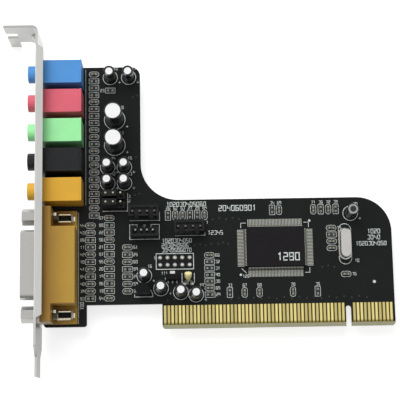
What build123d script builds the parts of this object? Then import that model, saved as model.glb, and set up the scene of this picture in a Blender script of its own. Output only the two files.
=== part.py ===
from build123d import *
import os
from math import radians, tan

# A sound card for a desktop computer's expansion slot. Millimetres.
# The origin is the centre of the key notch, on the lower edge of the slot tongue and halfway through
# the board. +X runs along the board away from the bracket, +Y up from the slot, +Z out of the side
# that carries the parts.

# Board and slot tongue
BOARD_THICK = 1.6
TONGUE_DEPTH = 8.5
TONGUE_BEVEL = 1.3
TONGUE_BEVEL_DEPTH = 0.4
TONGUE_SIDE = 0.95
KEY_WIDTH = 1.9
KEY_TOP = 7.0
CONTACT_PITCH = 1.27
CONTACT_WIDTH = 0.95
CONTACT_LENGTH = 6.6
CONTACT_THICK = 0.05
COUNT_BEFORE_KEY = 49
COUNT_AFTER_KEY = 11
BOARD_LOW_HEIGHT = 44.7
BOARD_END_SIDE = 1.3
BOARD_GAP = 0.95
COLUMN_SIDE = 4.0
COLUMN_TOP_SIDE = 4.3
OUTER_CORNER = 12.0
INNER_CORNER = 13.0
COLUMN_CORNER = 3.2
LEG_CORNER = 0.9
TONGUE_CORNER = 0.7

# Leads that pass through the board
LEAD = 0.6
LEAD_CLEAR = 0.1
LEAD_TAIL = 1.2

# Slot bracket, folded from sheet
BRACKET_FACE = 105.25
SHEET = 0.86
BRACKET_WIDTH = 18.42
BRACKET_HEIGHT = 120.0
BRACKET_BEHIND = 1.82
BRACKET_BELOW = 16.1
BEND = 1.2
FOOT_WIDTH = 10.2
FOOT_LENGTH = 6.6
FOOT_TAPER = 3.4
EDGE_FOLD = 1.85
EDGE_FOLD_FROM = 19.1
EDGE_FOLD_LENGTH = 93.9
EDGE_FOLD_SLOPE = 1.1
EDGE_FOLD_ROUND = 0.5
TAB_REACH = 11.1
TAB_EXTRA = 3.2
TAB_EAR_WIDTH = 3.7
TAB_RELIEF = 2.3
SCREW_SLOT_WIDTH = 4.8
SCREW_SLOT_DEPTH = 3.9

# Audio jacks, lowest first
JACKS = ("center_speaker", "rear_speaker", "front_speaker", "microphone", "line_in")
JACK_LOWEST = 47.0
JACK_PITCH = 10.4
JACK_WIDTH = 8.2
JACK_LENGTH = 14.6
JACK_HEIGHT = 10.5
JACK_AXIS = 6.5
JACK_NOSE = 6.0
JACK_NOSE_OUT = 3.2
JACK_BORE = 3.6
JACK_BORE_LENGTH = 8.4
JACK_LIP = 0.35
JACK_LIP_WIDTH = 0.6
NOSE_CLEAR = 0.2
SPRING_WIDTH = 0.9
SPRING_THICK = 0.3
SPRING_GAP = 0.4
SPRING_TOP = 8.4
SPRING_PLACES = (1.6, 4.2, 6.8)

# Game port
PORT_BELOW_JACKS = 1.85
PORT_LENGTH = 39.1
PORT_HEIGHT = 12.0
PORT_DEPTH = 12.5
PORT_AXIS = 6.2
PORT_FLANGE = 0.8
PORT_WALL = 1.3
PORT_END_WALL = 0.75
PORT_LEG_SIDE = 3.1
PORT_LEG_DROP = 0.85
SHELL_FROM_END = 7.15
SHELL_HEIGHT = 8.3
SHELL_SLANT = 10.0
SHELL_CORNER = 2.4
SHELL_WALL = 0.5
SHELL_OUT = 5.2
SHELL_CLEAR = 0.35
CORE_CLEAR = 0.05
CORE_BACK = 1.6
CORE_BACK_IN = 1.0
SOCKET_SIDE = 2.705
SOCKET_ROWS = 2.84
SOCKET_HOLE = 1.1
SOCKET_DEPTH = 4.0
LONG_ROW_COUNT = 8
PORT_PIN_FIRST = 4.4
JACKSCREW_FROM_END = 2.89
JACKSCREW_FLATS = 5.0
JACKSCREW_OUT = 5.0
JACKSCREW_HOLE = 2.3
JACKSCREW_HOLE_DEPTH = 4.0
CLIP_GAP = 1.6
CLIP_SHEET = 0.85
CLIP_LENGTH = 7.3
CLIP_TAIL = 1.6
CLIP_RAIL = 2.2
CLIP_NUT_LENGTH = 1.9
CLIP_NUT_RISE = 4.2
COVER_FRONT = 3.65
SHELF_THICK = 1.5
SHELF_LOWER = 5.95
SHELF_UPPER = 6.95

# Flat pack chip with leads on four sides
CHIP_X = -24.6
CHIP_ABOVE_EDGE = 18.85
CHIP_LENGTH = 20.0
CHIP_WIDTH = 14.0
CHIP_THICK = 2.7
CHIP_STANDOFF = 0.3
CHIP_BEVEL = 0.3
CHIP_LEAD_PITCH = 0.5
CHIP_LEAD_WIDTH = 0.22
CHIP_LEAD_THICK = 0.15
CHIP_LEAD_REACH = 1.6
CHIP_LEAD_FOOT = 0.8
CHIP_LONG_COUNT = 38
CHIP_SHORT_COUNT = 26

# Can capacitors
SMALL_CAN = 4.0
SMALL_CAN_HEIGHT = 8.5
LARGE_CAN = 6.3
LARGE_CAN_HEIGHT = 12.5
CAN_COLUMN_FROM_JACKS = 9.35
CAN_PAIR_PITCH = 6.5
TOP_CAN_BELOW_EDGE = 3.8
LARGE_CAN_SHIFT = 1.5
LARGE_CAN_FIRST = 73.8
LARGE_CAN_PITCH = 9.3
OUTPUT_CAN_SHIFT = 1.0
OUTPUT_PAIR_PITCH = 5.8
OUTPUT_CAN_FIRST = 50.9
OUTPUT_CAN_PITCH = 5.7
LOWER_CANS = ((-69.9, 18.3), (-64.2, 13.8), (-57.4, 12.4), (-52.2, 11.5))
END_CAN_FROM_EDGE = 14.1
END_CAN_BELOW_EDGE = 5.7

# Crystal
CRYSTAL_FROM_EDGE = 16.3
CRYSTAL_BELOW_CAN = 3.2
CRYSTAL_LENGTH = 11.0
CRYSTAL_WIDTH = 4.5
CRYSTAL_HEIGHT = 3.6
CRYSTAL_LEAD_PITCH = 4.9

# Pin headers
PIN = 0.64
PIN_PITCH = 2.54
PIN_CLEAR = 0.08
SHROUD_X = (-69.8, -54.2)
SHROUD_FRONT = (37.8, 32.3)
SHROUD_WIDTH = 10.4
SHROUD_LENGTH = 5.4
SHROUD_HEIGHT = 8.0
SHROUD_WALL = 0.8
SHROUD_FLOOR = 2.2
SHROUD_PIN_COUNT = 4
SHROUD_PIN_FROM_FRONT = 1.9
SHROUD_PIN_HEIGHT = 7.2
SHROUD_SLOT = 1.6
WAFER_X = -69.7
WAFER_FRONT = 31.4
WAFER_WIDTH = 9.6
WAFER_LENGTH = 4.5
WAFER_HEIGHT = 4.8
WAFER_PITCH = 2.0
WAFER_PIN_HEIGHT = 4.4
JUMPER_ROWS = (42.9, 46.0)
JUMPER_FROM_JACKS = 10.55
JUMPER_PIN_COUNT = 3
JUMPER_BASE = 2.4
JUMPER_PIN_HEIGHT = 8.4
JUMPER_CAP_HEIGHT = 5.6
JUMPER_CAP_WIDTH = 2.3

# Regulator, power transistor and bead capacitor
REGULATOR_X = -70.2
REGULATOR_Y = 12.9
REGULATOR_ROUND = 4.8
REGULATOR_FLAT = 1.3
REGULATOR_HEIGHT = 4.6
REGULATOR_STANDOFF = 1.6
REGULATOR_PITCH = 1.27
POWER_X = -60.2
POWER_Y = 17.6
POWER_WIDTH = 4.5
POWER_LENGTH = 2.5
POWER_HEIGHT = 1.5
POWER_LEAD_PITCH = 1.5
POWER_LEAD_WIDTH = 0.5
POWER_LEAD_REACH = 0.9
POWER_LEAD_THICK = 0.4
POWER_TAB_WIDTH = 1.7
BEAD_X = -54.8
BEAD_Y = 15.7
BEAD_WIDTH = 2.8
BEAD_LENGTH = 3.9
BEAD_THICK = 2.0
BEAD_LEAN = 38.0
BEAD_STANDOFF = 0.9
BEAD_LEAD_PITCH = 2.54

# Chip resistors and capacitors: r and c stand for the kind, a dash for a place left empty
SMD_LENGTH = 1.6
SMD_WIDTH = 0.8
RESISTOR_HEIGHT = 0.45
CAPACITOR_HEIGHT = 0.75
SMD_PITCH = 2.54
COLUMN_BESIDE_JACKS = "rc-rc-cc-crccr-rc-r-c"
COLUMN_BESIDE_JACKS_FROM = 3.6
COLUMN_BESIDE_JACKS_LOW = 39.6
COLUMN_BESIDE_PORT = "cc-crcr-cc"
COLUMN_BESIDE_PORT_FROM = 4.4
COLUMN_BESIDE_PORT_LOW = 13.2
COLUMN_THIRD = "cr-rrc-rcr-c"
COLUMN_THIRD_FROM = 10.9
COLUMN_THIRD_LOW = 10.7
COLUMN_FOURTH = "ccr-crc"
COLUMN_FOURTH_FROM = 17.1
COLUMN_FOURTH_LOW = 13.0
COLUMN_CHIP = "rcr-rrc"
COLUMN_CHIP_X = -47.4
COLUMN_CHIP_LOW = 11.4
COLUMN_CHIP_PITCH = 2.28
COLUMN_CRYSTAL = "ccrc"
COLUMN_CRYSTAL_FROM = 4.6
COLUMN_CRYSTAL_DROP = 1.4
CRYSTAL_PITCH = 2.35
ROW_HEADER = "rccrrc"
ROW_HEADER_X = -61.5
ROW_HEADER_Y = 39.25
ROW_UPPER_Y = 40.6
ROW_UPPER = ((-25.3, "r"), (-22.9, "c"), (-11.0, "c"), (-8.4, "r"), (-5.8, "c"), (-3.2, "r"))
ROW_LOWER_Y = 12.0
ROW_LOWER = ((-40.6, "r"), (-35.5, "c"), (-30.4, "c"), (-18.9, "c"), (-10.4, "r"))
LONE_BELOW_CRYSTAL = 5.0
LONE_BELOW_CANS = 4.7

# Places worked out from the sizes above
TOP = BOARD_THICK / 2
BOTTOM = -BOARD_THICK / 2
KEY_GAP = 1.5 * CONTACT_PITCH
TONGUE_LEFT = -KEY_GAP - (COUNT_BEFORE_KEY - 1) * CONTACT_PITCH - TONGUE_SIDE
BOARD_RIGHT = KEY_GAP + (COUNT_AFTER_KEY - 1) * CONTACT_PITCH + BOARD_END_SIDE
BRACKET_INNER = -BRACKET_FACE
BRACKET_OUTER = BRACKET_INNER - SHEET
BOARD_LEFT = BRACKET_INNER + BOARD_GAP
JACK_YS = [JACK_LOWEST + JACK_PITCH * i for i in range(len(JACKS))]
JACK_REAR = BRACKET_INNER + JACK_LENGTH
PORT_REAR = BRACKET_INNER + PORT_DEPTH
PORT_BACK = BRACKET_INNER + PORT_FLANGE
COVER_WALL = PORT_BACK + COVER_FRONT
CAN_X = (JACK_REAR + CAN_COLUMN_FROM_JACKS, JACK_REAR + CAN_COLUMN_FROM_JACKS + CAN_PAIR_PITCH)
COLUMN_RIGHT = CAN_X[1] + COLUMN_SIDE
COLUMN_TOP = JACK_YS[-1] + COLUMN_TOP_SIDE
LEG_RIGHT = PORT_REAR + PORT_LEG_SIDE
PORT_Y = JACK_LOWEST - JACK_WIDTH / 2 - PORT_BELOW_JACKS - PORT_LENGTH / 2
LEG_BOTTOM = PORT_Y - PORT_LENGTH / 2 - PORT_LEG_DROP
BRACKET_BACK = BOTTOM - BRACKET_BEHIND
BRACKET_FRONT = BRACKET_BACK + BRACKET_WIDTH
BRACKET_MIDDLE = (BRACKET_BACK + BRACKET_FRONT) / 2
BRACKET_LOW = -BRACKET_BELOW
BRACKET_HIGH = BRACKET_LOW + BRACKET_HEIGHT
PORT_ENDS = (PORT_Y - PORT_LENGTH / 2, PORT_Y + PORT_LENGTH / 2)
COVER_ENDS = (PORT_ENDS[0] + SHELF_LOWER, PORT_ENDS[1] - SHELF_UPPER)
JACKSCREW_YS = (PORT_ENDS[0] + JACKSCREW_FROM_END, PORT_ENDS[1] - JACKSCREW_FROM_END)
SHELL_WIDTH = PORT_LENGTH - 2 * SHELL_FROM_END
SOCKET_PITCH = (SHELL_WIDTH - 2 * SOCKET_SIDE) / (LONG_ROW_COUNT - 1)
PORT_Z = TOP + PORT_AXIS
CHIP_Y = TONGUE_DEPTH + CHIP_ABOVE_EDGE
CRYSTAL_X = BOARD_RIGHT - CRYSTAL_FROM_EDGE
END_CAN_X = BOARD_RIGHT - END_CAN_FROM_EDGE
END_CAN_Y = BOARD_LOW_HEIGHT - END_CAN_BELOW_EDGE
CRYSTAL_Y = END_CAN_Y - SMALL_CAN / 2 - CRYSTAL_BELOW_CAN - CRYSTAL_LENGTH / 2
SHROUD_CENTRES = [(x, front + SHROUD_LENGTH / 2) for x, front in zip(SHROUD_X, SHROUD_FRONT)]
SHROUD_PIN_YS = [front + SHROUD_PIN_FROM_FRONT for front in SHROUD_FRONT]
WAFER_Y = WAFER_FRONT + WAFER_LENGTH / 2
JUMPER_X = JACK_REAR + JUMPER_FROM_JACKS


def block(x, y, z):
    """A box between two corners, each axis given as a low and a high value."""
    size = Box(x[1] - x[0], y[1] - y[0], z[1] - z[0])
    return Pos((x[0] + x[1]) / 2, (y[0] + y[1]) / 2, (z[0] + z[1]) / 2) * size


def post(x, y, z, width, depth):
    """An upright bar of rectangular section on a point of the board."""
    return block((x - width / 2, x + width / 2), (y - depth / 2, y + depth / 2), z)


def slab(face, low, high):
    """A plan outline raised from one height to another."""
    return Pos(0, 0, low) * extrude(face, high - low)


def along_x(face, low, high):
    """An outline drawn in Y and Z, run along X between two places."""
    return extrude(Plane.YZ.offset(low) * face, high - low)


def across_y(points, low, high):
    """An outline given by X and Z points, run along Y between two places."""
    face = Face(Wire.make_polygon([(x, low, z) for x, z in points], close=True))
    return extrude(face, high - low, dir=(0, 1, 0))


def spread(count, pitch, middle=0.0):
    """Evenly spaced places about a middle."""
    return [middle + (i - (count - 1) / 2) * pitch for i in range(count)]


def group(solids):
    """Several separate solids kept as one piece."""
    return Compound(children=list(solids))


# Through leads, each as x, y, width and depth

def can_places():
    """Name, x, y, diameter and height of every can capacitor."""
    small = (SMALL_CAN, SMALL_CAN_HEIGHT)
    large = (LARGE_CAN, LARGE_CAN_HEIGHT)
    top = COLUMN_TOP - TOP_CAN_BELOW_EDGE
    places = [(f"top_capacitor_{i + 1}", x, top, *small) for i, x in enumerate(CAN_X)]
    large_x = CAN_X[0] + LARGE_CAN_SHIFT
    for i in range(2):
        places.append((f"supply_capacitor_{i + 1}", large_x, LARGE_CAN_FIRST - i * LARGE_CAN_PITCH, *large))
    for i in range(4):
        x = CAN_X[0] - OUTPUT_CAN_SHIFT + (i % 2) * OUTPUT_PAIR_PITCH
        y = OUTPUT_CAN_FIRST + (i // 2) * OUTPUT_CAN_PITCH
        places.append((f"output_capacitor_{i + 1}", x, y, *small))
    for i, (x, y) in enumerate(LOWER_CANS):
        places.append((f"lower_capacitor_{i + 1}", x, y, *small))
    places.append(("end_capacitor", END_CAN_X, END_CAN_Y, *small))
    return places


def spring_places(y):
    """Middle of each jack spring: every second one stands on the other side of the bore."""
    offset = JACK_BORE / 2 + SPRING_GAP + SPRING_THICK / 2
    start = BRACKET_OUTER - JACK_NOSE_OUT + JACK_BORE_LENGTH
    return [(start + place, y + (offset if i % 2 else -offset)) for i, place in enumerate(SPRING_PLACES)]


def port_pin_places():
    """X of the tail, Y and height of each game port pin, long row first."""
    rows = ((LONG_ROW_COUNT, 0.5), (LONG_ROW_COUNT - 1, -0.5))
    places = []
    for count, side in rows:
        tail = PORT_BACK + CORE_BACK + PORT_PIN_FIRST + (side + 0.5) * SOCKET_ROWS
        for y in spread(count, SOCKET_PITCH, PORT_Y):
            places.append((tail, y, PORT_Z + side * SOCKET_ROWS))
    return places


def clip_tail():
    """X of the middle of the rear plate of a screw clip."""
    return COVER_WALL + CLIP_LENGTH - CLIP_SHEET / 2


def shroud_pins(index):
    """Pin places of one shrouded header."""
    return [(x, SHROUD_PIN_YS[index]) for x in spread(SHROUD_PIN_COUNT, PIN_PITCH, SHROUD_X[index])]


def wafer_pins():
    """Pin places of the fine-pitch header."""
    return [(x, WAFER_Y) for x in spread(SHROUD_PIN_COUNT, WAFER_PITCH, WAFER_X)]


def jumper_pins():
    """Pin places of the two jumper rows."""
    return [(x, y) for y in JUMPER_ROWS for x in spread(JUMPER_PIN_COUNT, PIN_PITCH, JUMPER_X)]


def regulator_leads():
    """Lead places of the regulator."""
    return [(x, REGULATOR_Y) for x in spread(3, REGULATOR_PITCH, REGULATOR_X)]


def bead_leads():
    """Lead places of the bead capacitor."""
    return [(x, BEAD_Y) for x in spread(2, BEAD_LEAD_PITCH, BEAD_X)]


def crystal_leads():
    """Lead places of the crystal."""
    return [(CRYSTAL_X, y) for y in spread(2, CRYSTAL_LEAD_PITCH, CRYSTAL_Y)]


def through_leads():
    """Every lead that passes through the board."""
    leads = []
    for y in JACK_YS:
        leads += [(x, side, SPRING_WIDTH, SPRING_THICK) for x, side in spring_places(y)]
    leads += [(x, y, LEAD, LEAD) for x, y, _ in port_pin_places()]
    leads += [(clip_tail(), y, CLIP_SHEET, CLIP_TAIL) for y in JACKSCREW_YS]
    square_pins = shroud_pins(0) + shroud_pins(1) + wafer_pins() + jumper_pins()
    leads += [(x, y, PIN, PIN) for x, y in square_pins]
    leads += [(x, y, LEAD, LEAD) for x, y in regulator_leads() + bead_leads() + crystal_leads()]
    return leads


# Board

def board_outline():
    """Plan of the board: jack column, lower arm, slot tongue and the leg under the game port."""
    corners = (
        (BOARD_LEFT, LEG_BOTTOM, LEG_CORNER),
        (LEG_RIGHT, LEG_BOTTOM, LEG_CORNER),
        (LEG_RIGHT, TONGUE_DEPTH, 0.0),
        (TONGUE_LEFT, TONGUE_DEPTH, 0.0),
        (TONGUE_LEFT, TONGUE_CORNER, 0.0),
        (TONGUE_LEFT + TONGUE_CORNER, 0.0, 0.0),
        (BOARD_RIGHT - TONGUE_CORNER, 0.0, 0.0),
        (BOARD_RIGHT, TONGUE_CORNER, 0.0),
        (BOARD_RIGHT, BOARD_LOW_HEIGHT, OUTER_CORNER),
        (COLUMN_RIGHT, BOARD_LOW_HEIGHT, INNER_CORNER),
        (COLUMN_RIGHT, COLUMN_TOP, COLUMN_CORNER),
        (BOARD_LEFT, COLUMN_TOP, 0.0),
    )
    points = [(x, y) for x, y, _ in corners]
    radii = [radius for _, _, radius in corners]
    return make_face(FilletPolyline(*points, radius=radii, close=True))


def tongue_bevel(side):
    """Wedge that thins the lower edge of the tongue on one face of the board."""
    face = side * BOARD_THICK / 2
    points = [(0, face), (TONGUE_BEVEL, face), (0, face - side * TONGUE_BEVEL_DEPTH)]
    wire = Wire.make_polygon([(TONGUE_LEFT, y, z) for y, z in points], close=True)
    return extrude(Face(wire), BOARD_RIGHT - TONGUE_LEFT, dir=(1, 0, 0))


def circuit_board():
    """The drilled and notched board."""
    key = Pos(0, (KEY_TOP - KEY_WIDTH / 2) / 2) * Rectangle(KEY_WIDTH, KEY_TOP - KEY_WIDTH / 2)
    key += Pos(0, KEY_TOP - KEY_WIDTH / 2) * Circle(KEY_WIDTH / 2)
    holes = [Pos(x, y) * Rectangle(w + 2 * LEAD_CLEAR, d + 2 * LEAD_CLEAR) for x, y, w, d in through_leads()]
    plan = Sketch() + board_outline() - key - holes
    board = slab(plan, BOTTOM, TOP)
    return board - tongue_bevel(1) - tongue_bevel(-1)


def edge_contacts(low):
    """One side's row of slot contacts, missing where the key is."""
    before = [-KEY_GAP - i * CONTACT_PITCH for i in range(COUNT_BEFORE_KEY)]
    after = [KEY_GAP + i * CONTACT_PITCH for i in range(COUNT_AFTER_KEY)]
    length = (TONGUE_BEVEL, TONGUE_BEVEL + CONTACT_LENGTH)
    half = CONTACT_WIDTH / 2
    return group(block((x - half, x + half), length, (low, low + CONTACT_THICK)) for x in before + after)


# Bracket

def shell_face(grow=0.0):
    """Tapered outline of the game port's shell in Y and Z, grown or shrunk all round."""
    half = SHELL_WIDTH / 2
    slope = SHELL_HEIGHT * tan(radians(SHELL_SLANT))
    low, high = -SHELL_HEIGHT / 2, SHELL_HEIGHT / 2
    points = [(half, high), (-half, high), (slope - half, low), (half - slope, low)]
    face = make_face(FilletPolyline(*points, radius=SHELL_CORNER, close=True))
    if grow:
        face = offset(face, grow, kind=Kind.ARC)
    return Pos(PORT_Y, PORT_Z) * face


def slot_bracket():
    """Plate, tapered foot and the folded screw tab, one piece of sheet."""
    foot = FOOT_WIDTH / 2
    foot_top = BRACKET_LOW + FOOT_LENGTH
    plate_low = foot_top + FOOT_TAPER
    plate_high = BRACKET_HIGH - SHEET - BEND
    outline = make_face(Polyline(
        (BRACKET_LOW, BRACKET_MIDDLE - foot), (foot_top, BRACKET_MIDDLE - foot),
        (plate_low, BRACKET_BACK), (plate_high, BRACKET_BACK), (plate_high, BRACKET_FRONT),
        (plate_low, BRACKET_FRONT), (foot_top, BRACKET_MIDDLE + foot), (BRACKET_LOW, BRACKET_MIDDLE + foot),
        close=True))
    nose_hole = JACK_NOSE / 2 + NOSE_CLEAR
    plan = outline - shell_face(SHELL_CLEAR)
    plan -= [Pos(y, TOP + JACK_AXIS) * Circle(nose_hole) for y in JACK_YS]
    plate = along_x(plan, BRACKET_OUTER, BRACKET_INNER)

    centre = BRACKET_OUTER - BEND, plate_high
    ring = Circle(BEND + SHEET) - Circle(BEND)
    quarter = ring & Pos((BEND + SHEET) / 2, (BEND + SHEET) / 2) * Rectangle(BEND + SHEET, BEND + SHEET)
    fold = Pos(*centre) * slab(quarter, BRACKET_BACK, BRACKET_FRONT)

    return folded_edge(plate) + fold + screw_tab(centre[0])


def folded_edge(plate):
    """The plate with its front edge folded in over the jacks and the port, sloped at both ends."""
    low = BRACKET_LOW + EDGE_FOLD_FROM
    high = low + EDGE_FOLD_LENGTH
    reach = BRACKET_INNER + EDGE_FOLD
    plan = make_face(Polyline((BRACKET_INNER, low), (reach, low + EDGE_FOLD_SLOPE),
                              (reach, high - EDGE_FOLD_SLOPE), (BRACKET_INNER, high), close=True))
    bend = ((BRACKET_OUTER, BRACKET_FRONT), (BRACKET_OUTER + EDGE_FOLD_ROUND, BRACKET_FRONT),
            (BRACKET_OUTER, BRACKET_FRONT - EDGE_FOLD_ROUND))
    folded = plate + slab(plan, BRACKET_FRONT - SHEET, BRACKET_FRONT)
    return folded - across_y(bend, low, high)


def screw_tab(fold_x):
    """The flat top of the bracket, with its open screw slot and the ear at its back corner."""
    tip = BRACKET_OUTER - TAB_REACH
    ear = BRACKET_BACK - TAB_EXTRA
    relief = BRACKET_BACK + TAB_RELIEF
    slot = SCREW_SLOT_WIDTH / 2
    slot_end = tip + SCREW_SLOT_DEPTH
    corners = (
        (fold_x, BRACKET_FRONT), (tip, BRACKET_FRONT), (tip, BRACKET_MIDDLE + slot),
        (slot_end, BRACKET_MIDDLE + slot), (slot_end, BRACKET_MIDDLE - slot), (tip, BRACKET_MIDDLE - slot),
        (tip, ear), (tip + TAB_EAR_WIDTH, ear), (tip + TAB_EAR_WIDTH, relief),
        (fold_x - TAB_RELIEF, relief), (fold_x, BRACKET_BACK),
    )
    return across_y(corners, BRACKET_HIGH - SHEET, BRACKET_HIGH)


# Jacks

def jack_housing(y):
    """Moulded jack: block with a lip at the back, nose through the bracket, bore and spring chamber."""
    nose_tip = BRACKET_OUTER - JACK_NOSE_OUT
    half = JACK_WIDTH / 2
    high = TOP + JACK_HEIGHT
    axis = TOP + JACK_AXIS
    side = ((BRACKET_INNER, TOP), (JACK_REAR, TOP), (JACK_REAR, high + JACK_LIP),
            (JACK_REAR - JACK_LIP_WIDTH, high + JACK_LIP), (JACK_REAR - JACK_LIP_WIDTH, high),
            (BRACKET_INNER, high))
    body = across_y(side, y - half, y + half)
    body += along_x(Pos(y, axis) * Circle(JACK_NOSE / 2), nose_tip, BRACKET_INNER + SHEET)
    bore_end = nose_tip + JACK_BORE_LENGTH
    body -= along_x(Pos(y, axis) * Circle(JACK_BORE / 2), nose_tip, bore_end)
    room = JACK_BORE / 2 + SPRING_GAP + SPRING_THICK + LEAD_CLEAR / 2
    depth = SPRING_PLACES[-1] + SPRING_WIDTH / 2 + SPRING_GAP
    chamber = (bore_end, bore_end + depth), (y - room, y + room), (TOP, TOP + SPRING_TOP + SPRING_GAP)
    return body - block(*chamber)


def jack_contacts(y):
    """Contact springs standing beside the bore, their tails through the board."""
    height = (BOTTOM - LEAD_TAIL, TOP + SPRING_TOP)
    return group(post(x, side, height, SPRING_WIDTH, SPRING_THICK) for x, side in spring_places(y))


# Game port

def game_port_shell():
    """Drawn metal shell: flange behind the bracket and the tapered collar that stands out of it."""
    flange = block((BRACKET_INNER, PORT_BACK), (PORT_Y - PORT_LENGTH / 2, PORT_Y + PORT_LENGTH / 2),
                   (TOP, TOP + PORT_HEIGHT))
    tip = BRACKET_OUTER - SHELL_OUT
    collar = along_x(shell_face(), tip, PORT_BACK)
    return flange + collar - along_x(shell_face(-SHELL_WALL), tip, PORT_BACK)


def game_port_core():
    """Insulator inside the shell, with a socket hole for each pin and a base behind the flange."""
    tip = BRACKET_OUTER - SHELL_OUT + SHELL_WALL
    core = along_x(shell_face(-SHELL_WALL - CORE_CLEAR), tip, PORT_BACK)
    half = SHELL_WIDTH / 2 - CORE_BACK_IN
    rise = SHELL_HEIGHT / 2
    base = (PORT_BACK, PORT_BACK + CORE_BACK), (PORT_Y - half, PORT_Y + half), (PORT_Z - rise, PORT_Z + rise)
    core += block(*base)
    hole = RegularPolygon(SOCKET_HOLE / 2, 6)
    sockets = [Pos(y, z) * hole for _, y, z in port_pin_places()]
    return core - along_x(Sketch() + sockets, tip, tip + SOCKET_DEPTH)


def game_port_cover():
    """Moulded cover: front wall, hollow block over the pins, and a low shelf for the clip at each end."""
    high = TOP + PORT_HEIGHT
    cover = block((PORT_BACK, COVER_WALL), PORT_ENDS, (TOP, high))
    cover += block((PORT_BACK, PORT_REAR), COVER_ENDS, (TOP, high))
    cover += block((PORT_BACK, PORT_REAR), PORT_ENDS, (TOP, TOP + SHELF_THICK))
    inner = (COVER_ENDS[0] + PORT_END_WALL, COVER_ENDS[1] - PORT_END_WALL)
    cover -= block((PORT_BACK, PORT_REAR - PORT_WALL), inner, (TOP, high - PORT_WALL))
    for y in JACKSCREW_YS:
        hole = (CLIP_SHEET + LEAD_CLEAR, CLIP_TAIL + LEAD_CLEAR)
        cover -= post(clip_tail(), y, (TOP, TOP + SHELF_THICK), *hole)
    return cover


def game_port_pins():
    """Pins bent down from the insulator to the board."""
    pins = []
    half = LEAD / 2
    for tail, y, z in port_pin_places():
        start = PORT_BACK + CORE_BACK
        low = BOTTOM - LEAD_TAIL
        points = [(start, z - half), (tail - half, z - half), (tail - half, low),
                  (tail + half, low), (tail + half, z + half), (start, z + half)]
        pins.append(across_y(points, y - half, y + half))
    return group(pins)


def screw_clip(y):
    """Forked clip on the cover's shelf: a nut at the front wall, two rails and a tail in the board."""
    gap = CLIP_GAP / 2
    outer = gap + CLIP_SHEET
    rear = COVER_WALL + CLIP_LENGTH
    low = TOP + SHELF_THICK
    plan = Pos((COVER_WALL + rear) / 2, y) * Rectangle(CLIP_LENGTH, 2 * outer)
    plan -= Pos((COVER_WALL + rear - CLIP_SHEET) / 2, y) * Rectangle(CLIP_LENGTH - CLIP_SHEET, 2 * gap)
    clip = slab(plan, low, low + CLIP_RAIL)
    nut = (COVER_WALL, COVER_WALL + CLIP_NUT_LENGTH)
    clip += block(nut, (y - outer, y + outer), (low, low + CLIP_NUT_RISE))
    return clip + post(clip_tail(), y, (BOTTOM - LEAD_TAIL, low), CLIP_SHEET, CLIP_TAIL)


def jackscrew(y):
    """Hexagonal post outside the bracket, tapped at its end."""
    tip = BRACKET_OUTER - JACKSCREW_OUT
    hexagon = RegularPolygon(JACKSCREW_FLATS / 2, 6, major_radius=False)
    screw = along_x(Pos(y, PORT_Z) * hexagon, tip, BRACKET_OUTER)
    return screw - along_x(Pos(y, PORT_Z) * Circle(JACKSCREW_HOLE / 2), tip, tip + JACKSCREW_HOLE_DEPTH)


# Chip

def audio_chip_body():
    """Moulded body with bevelled edges, raised off the board."""
    low = TOP + CHIP_STANDOFF
    high = low + CHIP_THICK
    body = Pos(CHIP_X, CHIP_Y) * slab(Rectangle(CHIP_LENGTH, CHIP_WIDTH), low, high)
    ends = body.faces().sort_by(Axis.Z)
    return chamfer(ends[0].edges() + ends[-1].edges(), CHIP_BEVEL)


def chip_lead():
    """One lead at the origin, leaving the body along +X and stepping down to the board."""
    middle = CHIP_STANDOFF + CHIP_THICK / 2
    thick = CHIP_LEAD_THICK
    toe = CHIP_LEAD_REACH
    heel = CHIP_LEAD_REACH - CHIP_LEAD_FOOT
    points = [(0, middle), (heel + thick, thick), (toe, thick), (toe, 0), (heel, 0)]
    half = CHIP_LEAD_WIDTH / 2
    return across_y(points, -half, half)


def audio_chip_leads():
    """The rows of leads on the four sides of the chip."""
    lead = chip_lead()
    centre = Pos(CHIP_X, CHIP_Y, TOP)
    leads = []
    sides = ((0, CHIP_LENGTH / 2, CHIP_SHORT_COUNT), (90, CHIP_WIDTH / 2, CHIP_LONG_COUNT))
    for turn, half, count in sides:
        for flip in (0, 180):
            row = centre * Rot(0, 0, turn + flip)
            leads += [row * Pos(half, place, 0) * lead for place in spread(count, CHIP_LEAD_PITCH)]
    return group(leads)


# Cans, crystal and other leaded parts

def can_capacitor(x, y, diameter, height):
    """Sealed can standing on the board."""
    return Pos(x, y) * slab(Circle(diameter / 2), TOP, TOP + height)


def crystal():
    """Sealed can with round ends, with two leads through the board."""
    plan = Pos(CRYSTAL_X, CRYSTAL_Y) * Rot(0, 0, 90) * SlotOverall(CRYSTAL_LENGTH, CRYSTAL_WIDTH)
    can = slab(plan, TOP, TOP + CRYSTAL_HEIGHT)
    for x, y in crystal_leads():
        can += post(x, y, (BOTTOM - LEAD_TAIL, TOP), LEAD, LEAD)
    return can


def regulator_body():
    """Half-round moulded body standing on its leads, flat side towards the slot."""
    round_part = Circle(REGULATOR_ROUND / 2)
    keep = Pos(0, REGULATOR_ROUND / 2 - REGULATOR_FLAT) * Rectangle(REGULATOR_ROUND, REGULATOR_ROUND)
    low = TOP + REGULATOR_STANDOFF
    return Pos(REGULATOR_X, REGULATOR_Y) * slab(round_part & keep, low, low + REGULATOR_HEIGHT)


def regulator_legs():
    """Three leads from the regulator down through the board."""
    return group(post(x, y, (BOTTOM - LEAD_TAIL, TOP + REGULATOR_STANDOFF), LEAD, LEAD)
                 for x, y in regulator_leads())


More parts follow.
